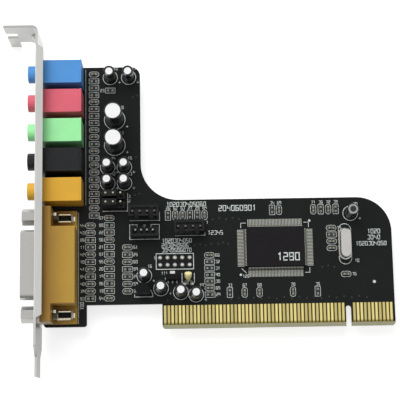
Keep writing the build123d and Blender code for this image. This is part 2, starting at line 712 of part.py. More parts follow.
def power_transistor_body():
    """Flat moulded body that lies on its tab."""
    low = TOP
    half = POWER_LENGTH / 2
    side = [(POWER_Y - half, low), (POWER_Y + half, low), (POWER_Y + half - CHIP_BEVEL, low + POWER_HEIGHT),
            (POWER_Y - half + CHIP_BEVEL, low + POWER_HEIGHT)]
    wire = Wire.make_polygon([(POWER_X - POWER_WIDTH / 2, y, z) for y, z in side], close=True)
    return extrude(Face(wire), POWER_WIDTH, dir=(1, 0, 0))


def power_transistor_leads():
    """Three flat leads on one side and the tab on the other."""
    edge = POWER_Y - POWER_LENGTH / 2
    flat = (TOP, TOP + POWER_LEAD_THICK)
    half = POWER_LEAD_WIDTH / 2
    leads = [block((x - half, x + half), (edge - POWER_LEAD_REACH, edge), flat)
             for x in spread(3, POWER_LEAD_PITCH, POWER_X)]
    far = POWER_Y + POWER_LENGTH / 2
    tab = POWER_TAB_WIDTH / 2
    return group(leads + [block((POWER_X - tab, POWER_X + tab), (far, far + POWER_LEAD_REACH), flat)])


def bead_capacitor():
    """Dipped bead leaning back from its two leads, pointed where they leave it."""
    half = BEAD_WIDTH / 2
    shoulder = BEAD_LENGTH / 2
    points = ((-LEAD / 2, 0), (LEAD / 2, 0), (half, shoulder), (half, BEAD_LENGTH), (-half, BEAD_LENGTH),
              (-half, shoulder))
    bead = extrude(make_face(Polyline(*points, close=True)), BEAD_THICK / 2, both=True)
    ends = bead.faces().sort_by(Axis.Z)
    bead = chamfer(ends[0].edges() + ends[-1].edges(), BEAD_THICK / 5)
    bead = Pos(BEAD_X, BEAD_Y, TOP + BEAD_STANDOFF + BEAD_THICK / 2) * Rot(BEAD_LEAN, 0, 0) * bead
    high = TOP + BEAD_STANDOFF + BEAD_THICK
    for x, y in bead_leads():
        bead += post(x, y, (BOTTOM - LEAD_TAIL, high), LEAD, LEAD)
    reach = (BEAD_X - BEAD_LEAD_PITCH / 2, BEAD_X + BEAD_LEAD_PITCH / 2)
    return bead + block(reach, (BEAD_Y - LEAD / 2, BEAD_Y + LEAD / 2), (high - LEAD, high))


# Headers

def pin_holes(places):
    """Plan of the square holes that pins pass through with a little room."""
    return [Pos(*place) * Rectangle(PIN + 2 * PIN_CLEAR, PIN + 2 * PIN_CLEAR) for place in places]


def shroud_housing(index):
    """Shrouded header: floor, four walls and two slots in the front wall."""
    x, y = SHROUD_CENTRES[index]
    pins = pin_holes(shroud_pins(index))
    outside = Pos(x, y) * Rectangle(SHROUD_WIDTH, SHROUD_LENGTH)
    inside = Pos(x, y) * Rectangle(SHROUD_WIDTH - 2 * SHROUD_WALL, SHROUD_LENGTH - 2 * SHROUD_WALL)
    housing = slab(outside - pins, TOP, TOP + SHROUD_FLOOR)
    housing += slab(outside - inside, TOP + SHROUD_FLOOR, TOP + SHROUD_HEIGHT)
    front = SHROUD_FRONT[index]
    for place in spread(2, PIN_PITCH * 2, x):
        housing -= block((place - SHROUD_SLOT / 2, place + SHROUD_SLOT / 2), (front, front + SHROUD_WALL),
                         (TOP + SHROUD_FLOOR, TOP + SHROUD_HEIGHT))
    return housing


def wafer_housing():
    """Fine-pitch header: low block with a channel along its top and a hole for each pin."""
    pins = pin_holes(wafer_pins())
    outside = Pos(WAFER_X, WAFER_Y) * Rectangle(WAFER_WIDTH, WAFER_LENGTH)
    inside = Pos(WAFER_X, WAFER_Y) * Rectangle(WAFER_WIDTH - 2 * SHROUD_WALL, WAFER_LENGTH - 2 * SHROUD_WALL)
    housing = slab(outside - pins, TOP, TOP + SHROUD_FLOOR / 2)
    return housing + slab(outside - inside, TOP + SHROUD_FLOOR / 2, TOP + WAFER_HEIGHT)


def header_pins(places, height):
    """Square pins through the board, standing to one height."""
    return group(post(x, y, (BOTTOM - LEAD_TAIL, TOP + height), PIN, PIN) for x, y in places)


def jumper_row(y):
    """Low base that one row of jumper pins passes through."""
    pins = pin_holes([place for place in jumper_pins() if place[1] == y])
    plan = Pos(JUMPER_X, y) * Rectangle(JUMPER_PIN_COUNT * PIN_PITCH, JUMPER_BASE) - pins
    return slab(plan, TOP, TOP + JUMPER_BASE)


def jumper_cap(y):
    """Slip-on cap that bridges the first two pins of a row."""
    x = JUMPER_X - PIN_PITCH / 2
    pins = pin_holes([place for place in jumper_pins() if place[1] == y][:2])
    plan = Pos(x, y) * Rectangle(2 * PIN_PITCH - PIN_CLEAR, JUMPER_CAP_WIDTH) - pins
    return slab(plan, TOP + JUMPER_BASE, TOP + JUMPER_BASE + JUMPER_CAP_HEIGHT)


# Chip resistors and capacitors

def smd_places():
    """X, y, kind and whether it stands across the board, for each small chip."""
    columns = (
        (JACK_REAR + COLUMN_BESIDE_JACKS_FROM, COLUMN_BESIDE_JACKS_LOW, SMD_PITCH, COLUMN_BESIDE_JACKS),
        (PORT_REAR + COLUMN_BESIDE_PORT_FROM, COLUMN_BESIDE_PORT_LOW, SMD_PITCH, COLUMN_BESIDE_PORT),
        (PORT_REAR + COLUMN_THIRD_FROM, COLUMN_THIRD_LOW, SMD_PITCH, COLUMN_THIRD),
        (PORT_REAR + COLUMN_FOURTH_FROM, COLUMN_FOURTH_LOW, SMD_PITCH, COLUMN_FOURTH),
        (COLUMN_CHIP_X, COLUMN_CHIP_LOW, COLUMN_CHIP_PITCH, COLUMN_CHIP),
        (CRYSTAL_X - COLUMN_CRYSTAL_FROM, CRYSTAL_Y - COLUMN_CRYSTAL_DROP, CRYSTAL_PITCH, COLUMN_CRYSTAL),
    )
    places = [(x, low + i * pitch, kind, False)
              for x, low, pitch, kinds in columns for i, kind in enumerate(kinds)]
    places += [(ROW_HEADER_X + i * SMD_PITCH, ROW_HEADER_Y, kind, True) for i, kind in enumerate(ROW_HEADER)]
    places += [(x, ROW_UPPER_Y, kind, True) for x, kind in ROW_UPPER]
    places += [(x, ROW_LOWER_Y, kind, True) for x, kind in ROW_LOWER]
    places.append((CRYSTAL_X, CRYSTAL_Y - CRYSTAL_LENGTH / 2 - LONE_BELOW_CRYSTAL, "c", False))
    places.append((CAN_X[0], COLUMN_TOP - TOP_CAN_BELOW_EDGE - LONE_BELOW_CANS, "r", False))
    return places


def small_chips(wanted, height):
    """All small chips of one kind, lying on the board."""
    chips = []
    for x, y, kind, upright in smd_places():
        width, depth = (SMD_WIDTH, SMD_LENGTH) if upright else (SMD_LENGTH, SMD_WIDTH)
        if kind == wanted:
            chips.append(post(x, y, (TOP, TOP + height), width, depth))
    return group(chips)


def pieces():
    """Every piece of the card by name."""
    made = {
        "circuit_board": circuit_board(),
        "edge_contacts_front": edge_contacts(TOP),
        "edge_contacts_back": edge_contacts(BOTTOM - CONTACT_THICK),
        "slot_bracket": slot_bracket(),
    }
    for name, y in zip(JACKS, JACK_YS):
        made[f"{name}_jack"] = jack_housing(y)
        made[f"{name}_jack_contacts"] = jack_contacts(y)
    made["game_port_shell"] = game_port_shell()
    made["game_port_core"] = game_port_core()
    made["game_port_cover"] = game_port_cover()
    made["game_port_pins"] = game_port_pins()
    made["game_port_clip_lower"] = screw_clip(JACKSCREW_YS[0])
    made["game_port_clip_upper"] = screw_clip(JACKSCREW_YS[1])
    made["jackscrews"] = group(jackscrew(y) for y in JACKSCREW_YS)
    made["audio_chip_body"] = audio_chip_body()
    made["audio_chip_leads"] = audio_chip_leads()
    made["crystal"] = crystal()
    for name, *place in can_places():
        made[name] = can_capacitor(*place)
    for index, name in enumerate(("disc_header", "aux_header")):
        made[f"{name}_housing"] = shroud_housing(index)
        made[f"{name}_pins"] = header_pins(shroud_pins(index), SHROUD_PIN_HEIGHT)
    made["fine_header_housing"] = wafer_housing()
    made["fine_header_pins"] = header_pins(wafer_pins(), WAFER_PIN_HEIGHT)
    for name, y in zip(("lower", "upper"), JUMPER_ROWS):
        made[f"jumper_base_{name}"] = jumper_row(y)
        made[f"jumper_cap_{name}"] = jumper_cap(y)
    made["jumper_pins"] = header_pins(jumper_pins(), JUMPER_PIN_HEIGHT)
    made["regulator_body"] = regulator_body()
    made["regulator_leads"] = regulator_legs()
    made["power_transistor_body"] = power_transistor_body()
    made["power_transistor_leads"] = power_transistor_leads()
    made["bead_capacitor"] = bead_capacitor()
    made["chip_resistors"] = small_chips("r", RESISTOR_HEIGHT)
    made["chip_capacitors"] = small_chips("c", CAPACITOR_HEIGHT)
    return made


os.makedirs("parts", exist_ok=True)
for name, piece in pieces().items():
    export_step(piece, f"parts/{name}.step")
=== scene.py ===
import logging
from dataclasses import dataclass, field
from enum import Enum, IntEnum
from itertools import product
from math import atan2, cos, dist, hypot, pi, sin, tau
from typing import Callable, ClassVar, Iterable, Optional, Sequence, Union

import bmesh
import bpy
from mathutils import Matrix, Vector


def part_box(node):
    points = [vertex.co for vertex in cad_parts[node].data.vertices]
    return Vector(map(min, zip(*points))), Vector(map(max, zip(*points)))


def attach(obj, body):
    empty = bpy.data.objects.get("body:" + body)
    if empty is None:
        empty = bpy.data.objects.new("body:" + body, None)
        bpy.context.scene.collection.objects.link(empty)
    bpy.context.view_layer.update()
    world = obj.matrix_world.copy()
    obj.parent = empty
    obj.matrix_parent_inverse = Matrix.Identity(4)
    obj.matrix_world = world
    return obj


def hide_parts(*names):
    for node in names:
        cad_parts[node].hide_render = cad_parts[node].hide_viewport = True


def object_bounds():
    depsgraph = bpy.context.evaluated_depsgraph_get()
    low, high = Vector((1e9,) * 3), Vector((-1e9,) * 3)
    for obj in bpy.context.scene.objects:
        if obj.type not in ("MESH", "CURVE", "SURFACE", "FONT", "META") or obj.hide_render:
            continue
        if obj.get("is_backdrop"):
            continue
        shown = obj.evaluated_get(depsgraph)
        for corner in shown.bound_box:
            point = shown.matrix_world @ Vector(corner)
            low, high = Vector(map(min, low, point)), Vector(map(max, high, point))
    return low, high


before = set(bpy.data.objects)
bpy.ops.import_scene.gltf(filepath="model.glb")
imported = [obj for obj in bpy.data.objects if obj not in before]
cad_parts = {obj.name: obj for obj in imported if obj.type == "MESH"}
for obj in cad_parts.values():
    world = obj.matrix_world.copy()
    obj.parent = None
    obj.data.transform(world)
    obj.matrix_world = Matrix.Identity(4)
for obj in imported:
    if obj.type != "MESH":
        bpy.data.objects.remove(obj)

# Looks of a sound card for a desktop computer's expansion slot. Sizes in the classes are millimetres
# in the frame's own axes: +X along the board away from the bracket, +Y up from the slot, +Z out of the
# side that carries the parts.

MM = 0.001
BODY = "root"
# Heights of the board's two faces, and of the print's underside and top over them.
TOP = 0.8
BOTTOM = -0.8
PRINT_LIFT = 0.012
PRINT_HIGH = 0.035
# Steps of a quarter turn, and a direction that no wire runs along.
ROUND = (pi / 6, pi / 3, pi / 2)
ASKEW = (0.31, 0.93, 0.17)
# Angles in radians above which an edge is a crease, and below which two faces are one.
CREASE = 0.6
FLAT = 0.01
# Distances below which points are one, heights are level and corners belong to one lead.
SAME = 1e-6
ONE_LEVEL = 0.01
LEAD_APART = 1.9
# How far a line's corner may reach, as the least share of its half width.
MITRE_LIMIT = 0.4
BRIGHTEST = 0.97
WHITE = (1.0, 1.0, 1.0, 1.0)
# Width of the photograph in pixels, and of the camera's sensor.
PHOTO_PIXELS = 400.0
SENSOR = 36.0

Point = tuple[float, float]
Triple = tuple[float, float, float]
Colour = Triple
Shade = tuple[float, float, float, float]
Corners = Sequence[bmesh.types.BMVert]
Number = Union[float, int, "Sock"]

log = logging.getLogger("sound_card")


def linear(red: int, green: int, blue: int) -> Colour:
    """Turn an 8-bit display colour into linear light.

    Args:
        red: Red from 0 to 255.
        green: Green from 0 to 255.
        blue: Blue from 0 to 255.

    Returns:
        The same colour as three linear values.
    """
    def one(value: int) -> float:
        """One channel in linear light."""
        share = value / 255.0
        return share / 12.92 if share <= 0.04045 else ((share + 0.055) / 1.055) ** 2.4

    return one(red), one(green), one(blue)


def shade(colour: Colour, factor: float = 1.0) -> Shade:
    """Make a linear colour lighter or darker, with an alpha of one and within what a surface reflects."""
    red, green, blue = (min(channel * factor, BRIGHTEST) for channel in colour)
    return red, green, blue, 1.0


class Sock:
    """One shader socket. Arithmetic on it adds Math nodes to its tree."""

    def __init__(self, tree: "Tree", socket: bpy.types.NodeSocket) -> None:
        """Wrap an output socket of a tree."""
        self.tree = tree
        self.socket = socket

    def _math(self, operation: str, first: Number, second: Number = 0.0) -> "Sock":
        """Add a Math node and return its result."""
        return self.tree.add("ShaderNodeMath", {"operation": operation}, {0: first, 1: second})

    def __add__(self, other: Number) -> "Sock":
        """Sum."""
        return self._math("ADD", self, other)

    def __radd__(self, other: Number) -> "Sock":
        """Sum with a number first."""
        return self._math("ADD", other, self)

    def __sub__(self, other: Number) -> "Sock":
        """Difference."""
        return self._math("SUBTRACT", self, other)

    def __rsub__(self, other: Number) -> "Sock":
        """Difference from a number."""
        return self._math("SUBTRACT", other, self)

    def __mul__(self, other: Number) -> "Sock":
        """Product."""
        return self._math("MULTIPLY", self, other)

    def __rmul__(self, other: Number) -> "Sock":
        """Product with a number first."""
        return self._math("MULTIPLY", other, self)

    def __truediv__(self, other: Number) -> "Sock":
        """Quotient."""
        return self._math("DIVIDE", self, other)

    def __rtruediv__(self, other: Number) -> "Sock":
        """Quotient of a number."""
        return self._math("DIVIDE", other, self)

    def __gt__(self, other: Number) -> "Sock":
        """One where it is greater."""
        return self._math("GREATER_THAN", self, other)

    def __lt__(self, other: Number) -> "Sock":
        """One where it is less."""
        return self._math("LESS_THAN", self, other)

    def __abs__(self) -> "Sock":
        """Size without its sign."""
        return self._math("ABSOLUTE", self)

    def fraction(self) -> "Sock":
        """Return the part after the decimal point."""
        return self._math("FRACT", self)

    def ramp(self, low: float, high: float) -> "Sock":
        """Return zero below low and one above high, smooth between them."""
        return self.tree.add("ShaderNodeMapRange", {"interpolation_type": "SMOOTHSTEP"},
                             {"Value": self, "From Min": low, "From Max": high})


class Tree:
    """The node tree of one material, with short ways to add to it."""

    def __init__(self, name: str) -> None:
        """Make a material.

        Args:
            name: Its name.
        """
        self.material = bpy.data.materials.new(name)
        self.material.use_nodes = True
        self.nodes = self.material.node_tree.nodes
        self.links = self.material.node_tree.links
        self.shader = next(n for n in self.nodes if n.type == "BSDF_PRINCIPLED")

    def make(self, kind: str, settings: Optional[dict] = None, inputs: Optional[dict] = None) -> bpy.types.Node:
        """Add a node.

        Args:
            kind: Blender's name of the node's type.
            settings: Attributes to set on it.
            inputs: Values or sockets for its inputs, by name or number.

        Returns:
            The new node.
        """
        node = self.nodes.new(kind)
        for key, value in (settings or {}).items():
            setattr(node, key, value)
        for key, value in (inputs or {}).items():
            self.feed(node.inputs[key], value)
        return node

    def feed(self, target: bpy.types.NodeSocket, value: object) -> None:
        """Link a socket, or set its value.

        Args:
            target: Input to feed.
            value: A Sock to link from, or a constant.
        """
        if isinstance(value, Sock):
            self.links.new(value.socket, target)
        else:
            target.default_value = value

    def add(self, kind: str, settings: Optional[dict] = None, inputs: Optional[dict] = None,
            output: Union[int, str] = 0) -> Sock:
        """Add a node and return one of its outputs as a Sock."""
        return Sock(self, self.make(kind, settings, inputs).outputs[output])

    def place(self) -> Sock:
        """Return the point on the surface in the card's own frame, in metres."""
        return self.add("ShaderNodeTexCoord", output="Object")

    def axis(self, name: str, vector: Sock) -> Sock:
        """Return one component of a vector, named X, Y or Z."""
        return self.add("ShaderNodeSeparateXYZ", inputs={0: vector}, output=name)

    def stretched(self, scale: Sequence[float]) -> Sock:
        """Return the surface point with X, Y and Z each scaled."""
        return self.add("ShaderNodeVectorMath", {"operation": "MULTIPLY"}, {0: self.place(), 1: scale})

    def noise(self, scale: float, detail: float = 2.0, vector: Optional[Sock] = None,
              roughness: float = 0.5) -> Sock:
        """Return smooth noise from 0 to 1, at the surface point or another vector."""
        return self.add("ShaderNodeTexNoise", inputs={"Vector": vector or self.place(), "Scale": scale,
                                                      "Detail": detail, "Roughness": roughness})

    def blend(self, factor: Number, first: object, second: object) -> Sock:
        """Return the mix of two colours or Socks: the first at a factor of zero, the second at one."""
        return self.add("ShaderNodeMix", {"data_type": "RGBA"}, {0: factor, 6: first, 7: second}, 2)

    def bump(self, height: Sock, distance: float, strength: float = 1.0) -> None:
        """Raise the surface by a height from 0 to 1, times a distance in metres."""
        self.feed(self.shader.inputs["Normal"], self.add(
            "ShaderNodeBump", inputs={"Height": height, "Distance": distance, "Strength": strength}))

    def set(self, **values: object) -> None:
        """Feed the shader's inputs, with spaces in their names given as underscores."""
        for key, value in values.items():
            self.feed(self.shader.inputs[key.replace("_", " ")], value)


class Sky(Tree):
    """The node tree of the world."""

    def __init__(self, name: str) -> None:
        """Make a world without nodes.

        Args:
            name: Its name.
        """
        self.world = bpy.data.worlds.new(name)
        self.world.use_nodes = True
        self.nodes = self.world.node_tree.nodes
        self.links = self.world.node_tree.links
        self.nodes.clear()


@dataclass(frozen=True)
class Finish:
    """A finish that makes its material once.

    Attributes:
        name: Name of the material.
        colour: Main linear colour.
        rough: Middle roughness.
    """

    name: str
    colour: Colour
    rough: float = 0.4

    def material(self) -> bpy.types.Material:
        """Make the material, the first time.

        Returns:
            The material.
        """
        title = f"look_{self.name}"
        known = bpy.data.materials.get(title)
        if known:
            return known
        tree = Tree(title)
        self.paint(tree)
        return tree.material

    def paint(self, tree: Tree) -> None:
        """Build the nodes in the tree of a new material."""
        raise NotImplementedError


@dataclass(frozen=True)
class Moulded(Finish):
    """Moulded plastic with spark-eroded grain and slow changes of tone.

    Attributes:
        grain: Grains per metre.
        relief: Height of the grain in metres.
        coat: Weight of a clear coat.
        mirror: Level of its plain reflection.
        dust: Share of dust on it.
        far: Lighter colour that it turns to along X, if it does; the main colour before it is painted shade, as on
            the port's cover near the bracket.
        reach: Where that change out of the painted shade starts and ends, in metres.
    """

    grain: float = 5200.0
    relief: float = 6e-6
    coat: float = 0.0
    mirror: float = 0.25
    dust: float = 0.08
    far: Optional[Colour] = None
    reach: Point = (0.0, 0.0)
    tone_scale: float = 140.0
    dust_scale: float = 900.0
    dust_band: Point = (0.62, 0.8)
    dust_grey: Shade = (0.5, 0.5, 0.5, 1.0)
    unevenness: float = 0.22

    def paint(self, tree: Tree) -> None:
        """Build grain, flow marks and tone.

        Args:
            tree: Tree of the new material.
        """
        tone = tree.noise(self.tone_scale, 3.0)
        grain = tree.noise(self.grain, 2.0)
        dust = tree.noise(self.dust_scale, 4.0).ramp(*self.dust_band)
        colour = tree.blend(tone, shade(self.colour, 0.9), shade(self.colour, 1.08))
        # Painted shade: darker at low X, near the bracket, and lighter further along X.
        if self.far:
            along = tree.axis("X", tree.place()).ramp(*self.reach)
            colour = tree.blend(along, colour, tree.blend(tone, shade(self.far, 0.92), shade(self.far, 1.06)))
        colour = tree.blend(dust * self.dust, colour, self.dust_grey)
        tree.set(Base_Color=colour, Roughness=grain * self.unevenness + (self.rough - self.unevenness / 2),
                 Coat_Weight=self.coat, Specular_IOR_Level=self.mirror)
        tree.bump(grain, self.relief, 0.5)


@dataclass(frozen=True)
class Sheet(Finish):
    """Plated or brushed metal with fine streaks along one axis.

    Attributes:
        stretch: Streaks per metre along X, Y and Z.
        streak: Share of the streaks in the roughness.
        smudge: Smudges per metre.
        relief: Height of the streaks in metres.
        dim_above: Height in Y, in metres, above which painted shade darkens it, as on the bracket's folded tab.
        dull_foot: Height in Y, in metres, below which painted shade darkens its inner side, as on the bracket's
            foot.
    """

    stretch: Triple = (900.0, 30.0, 900.0)
    streak: float = 0.16
    smudge: float = 60.0
    relief: float = 3e-6
    dim_above: Optional[float] = None
    dull_foot: Optional[float] = None
    pit_scale: float = 2600.0
    pit_band: Point = (0.66, 0.74)
    smudge_band: Point = (0.5, 0.8)
    smudge_share: float = 0.25
    # Shares of the colour kept under the painted shade of the tab and of the foot.
    dimmer: float = 0.78
    duller: float = 0.5

    def paint(self, tree: Tree) -> None:
        """Build streaks, smudges and small pits.

        Args:
            tree: Tree of the new material.
        """
        streaks = tree.noise(4.0, 4.0, tree.stretched(self.stretch), 0.6)
        smudges = tree.noise(self.smudge, 4.0)
        pits = tree.noise(self.pit_scale, 2.0).ramp(*self.pit_band)
        colour = tree.blend(streaks, shade(self.colour, 0.86), shade(self.colour, 1.1))
        colour = tree.blend(smudges.ramp(*self.smudge_band) * self.smudge_share, colour, shade(self.colour, 0.72))
        # Painted shade: the metal above a height in Y is darkened, for the bracket's folded tab.
        if self.dim_above is not None:
            above = tree.axis("Y", tree.place()) > self.dim_above
            colour = tree.blend(above, colour, shade(self.colour, self.dimmer))
        # Painted shade: metal that faces inwards below a height in Y is darkened, for the inner side of the
        # bracket's foot.
        if self.dull_foot is not None:
            inner = tree.axis("X", tree.add("ShaderNodeNewGeometry", output="Normal")) > 0.5
            inner = inner * (tree.axis("Y", tree.place()) < self.dull_foot)
            colour = tree.blend(inner, colour, shade(self.colour, self.duller))
        rough = streaks * self.streak + smudges * 0.12 + (self.rough - 0.14)
        tree.set(Base_Color=colour, Roughness=rough, Metallic=1.0)
        tree.bump(streaks - pits * 0.6, self.relief, 0.6)


@dataclass(frozen=True)
class Solder(Finish):
    """Reflowed solder or tin: bright, soft and a little lumpy.

    Attributes:
        lumps: Lumps per metre.
        metal: How far it is metal.
        dim_below: Height in Y, in metres, below which painted shade darkens it, as on the transistor's leads under
            its tab.
    """

    lumps: float = 1500.0
    metal: float = 1.0
    dim_below: Optional[float] = None
    patch_scale: float = 420.0
    relief: float = 2.5e-5
    # Share of the colour kept under the painted shade of the lower part.
    dimmer: float = 0.22

    def paint(self, tree: Tree) -> None:
        """Build lumps and dull patches.

        Args:
            tree: Tree of the new material.
        """
        lumps = tree.noise(self.lumps, 3.0)
        patches = tree.noise(self.patch_scale, 3.0)
        colour = tree.blend(patches, shade(self.colour, 0.8), shade(self.colour, 1.12))
        # Painted shade: the metal below a height in Y is darkened, so the transistor's leads are dark and only its
        # tab is bright.
        if self.dim_below is not None:
            below = tree.axis("Y", tree.place()) < self.dim_below
            colour = tree.blend(below, colour, shade(self.colour, self.dimmer))
        tree.set(Base_Color=colour, Roughness=patches * 0.25 + (self.rough - 0.12), Metallic=self.metal)
        tree.bump(lumps, self.relief, 0.6)


@dataclass(frozen=True)
class Gold(Finish):
    """Plated slot contacts with wiping marks and a changing tone from strip to strip.

    Attributes:
        pitch: Distance of the strips in metres.
        gap: Colour between them.
        foot: Heights in Y, in metres, between which the lower end darkens.
        sides: Shares of the pitch between which the sides darken.
        dark: Share of the gap's colour there.
        wipe: Wiping marks per metre along X, Y and Z.
        relief: Height of the marks in metres.
    """

    pitch: float = 1.27e-3
    gap: Colour = linear(98, 86, 20)
    foot: Point = (0.0015, 0.0023)
    sides: Point = (0.22, 0.38)
    dark: float = 0.85
    wipe: Triple = (1400.0, 60.0, 1.0)
    relief: float = 2e-6

    def paint(self, tree: Tree) -> None:
        """Build the tone of each strip and its length-wise wiping marks.

        Args:
            tree: Tree of the new material.
        """
        strip = tree.noise(1.0, 0.0, tree.stretched((0.5 / self.pitch, 0.0, 0.0)))
        marks = tree.noise(5.0, 3.0, tree.stretched(self.wipe), 0.6)
        height = tree.axis("Y", tree.place())
        foot = 1.0 - height.ramp(*self.foot)
        across = abs((tree.axis("X", tree.place()) / self.pitch).fraction() - 0.5)
        colour = tree.blend(strip.ramp(0.35, 0.65), shade(self.colour, 0.76), shade(self.colour, 1.14))
        colour = tree.blend(marks.ramp(0.5, 0.75) * 0.35, colour, shade(self.colour, 0.68))
        colour = tree.blend(across.ramp(*self.sides) * self.dark, colour, shade(self.gap))
        colour = tree.blend(foot * self.dark, colour, shade(self.gap, 1.35))
        tree.set(Base_Color=colour, Roughness=marks * 0.25 + (self.rough - 0.1), Metallic=1.0)
        tree.bump(marks, self.relief, 0.5)


@dataclass(frozen=True)
class Laminate(Finish):
    """Solder mask over copper: faint tracks, a woven base, raw edges and the bevelled slot edge.

    Attributes:
        edge: Colour of the raw edges.
        bevel: Colour of the bevelled slot edge.
        bevel_top: Height in Y, in metres, up to which the bevel reaches.
        layers: Layers of glass cloth per metre.
        weave: Threads per metre.
        bend: Facing of the bevel, from a raw edge to a flat face.
        fibre: Glass fibres per metre of the bevel along X, Y and Z.
        cells: Cells of tracks per metre.
        bands: Tracks in a cell.
        gap: Share of a track's pitch that is bare.
        areas: Areas of copper per metre.
        area_band: Noise between which an area's edge lies.
        mirror: Level of its plain reflection.
        relief: Height of the copper in metres.
    """

    edge: Colour = (0.05, 0.048, 0.036)
    bevel: Colour = (0.42, 0.41, 0.27)
    bevel_top: float = 1.28e-3
    layers: float = 4200.0
    weave: float = 2200.0
    bend: Point = (0.5, 0.985)
    flat: Triple = (1.0, 1.0, 0.0)
    fibre: Triple = (4200.0, 900.0, 900.0)
    cells: float = 70.0
    bands: float = 11.0
    gap: float = 0.62
    areas: float = 55.0
    area_band: Point = (0.46, 0.52)
    mirror: float = 0.12
    relief: float = 1.6e-5

    def tracks(self, tree: Tree) -> Sock:
        """Draw the copper under the mask.

        Args:
            tree: Tree of the material.

        Returns:
            One where copper runs.
        """
        cells = tree.add("ShaderNodeTexVoronoi", {"distance": "MANHATTAN"},
                         {"Vector": tree.stretched(self.flat), "Scale": self.cells, "Randomness": 0.8})
        bands = (cells * self.bands).fraction()
        area = tree.noise(self.areas, 1.0, tree.stretched(self.flat)).ramp(*self.area_band)
        return (bands > self.gap) * area

    def paint(self, tree: Tree) -> None:
        """Build mask, tracks, weave, edges and bevel.

        Args:
            tree: Tree of the new material.
        """
        point = tree.place()
        facing = abs(tree.axis("Z", tree.add("ShaderNodeNewGeometry", output="Normal")))
        tracks = self.tracks(tree)
        weave = tree.noise(1.0, 1.0, tree.stretched((self.weave, self.weave, 0.0)))
        tone = tree.noise(90.0, 3.0)
        mask = tree.blend(tone, shade(self.colour, 0.82), shade(self.colour, 1.2))
        mask = tree.blend(tracks * 0.35, mask, shade(self.colour, 1.75))
        layers = (tree.axis("Z", point) * self.layers).fraction()
        raw = tree.blend(layers, shade(self.edge, 0.7), shade(self.edge, 1.25))
        colour = tree.blend(facing.ramp(0.3, 0.6), raw, mask)
        slope = (facing < self.bend[1]) * (tree.axis("Y", point) < self.bevel_top) * (facing > self.bend[0])
        fibre = tree.blend(tree.noise(1.0, 2.0, tree.stretched(self.fibre)),
                           shade(self.bevel, 0.75), shade(self.bevel, 1.25))
        colour = tree.blend(slope, colour, fibre)
        tree.set(Base_Color=colour, Roughness=weave * 0.12 + tone * 0.12 + (self.rough - 0.12),
                 Specular_IOR_Level=self.mirror)
        tree.bump(tracks * 0.8 + weave * 0.2, self.relief, 0.7)


@dataclass(frozen=True)
class Ink(Finish):
    """Screen-printed ink, thin in places.

    Attributes:
        spots: Thin spots per metre.
        thin: Noise between which the ink thins.
        grain: Grains per metre.
        relief: Height of the grain in metres.
    """

    spots: float = 1400.0
    thin: Point = (0.42, 0.7)
    grain: float = 7000.0
    relief: float = 4e-6

    def paint(self, tree: Tree) -> None:
        """Build thin spots and a rough surface.

        Args:
            tree: Tree of the new material.
        """
        thin = tree.noise(self.spots, 3.0).ramp(*self.thin)
        grain = tree.noise(self.grain, 2.0)
        colour = tree.blend(thin, shade(self.colour, 1.05), shade(self.colour, 0.62))
        tree.set(Base_Color=colour, Roughness=grain * 0.2 + (self.rough - 0.1))
        tree.bump(grain, self.relief, 0.5)


@dataclass(frozen=True)
class CanTop(Finish):
    """Pressed aluminium end of a can: pale, cloudy and finely dimpled.

    Attributes:
        dimples: Dimples per metre.
        clouds: Clouds per metre.
        metal: How far it is metal.
        relief: Depth of the dimples in metres.
    """

    dimples: float = 2600.0
    clouds: float = 500.0
    metal: float = 0.55
    relief: float = 8e-6

    def paint(self, tree: Tree) -> None:
        """Build a pale, slightly dimpled metal.

        Args:
            tree: Tree of the new material.
        """
        fine = tree.noise(self.dimples, 3.0)
        cloud = tree.noise(self.clouds, 2.0)
        colour = tree.blend(cloud, shade(self.colour, 0.93), shade(self.colour, 1.04))
        tree.set(Base_Color=colour, Roughness=fine * 0.2 + (self.rough - 0.1), Metallic=self.metal)
        tree.bump(fine, self.relief, 0.5)


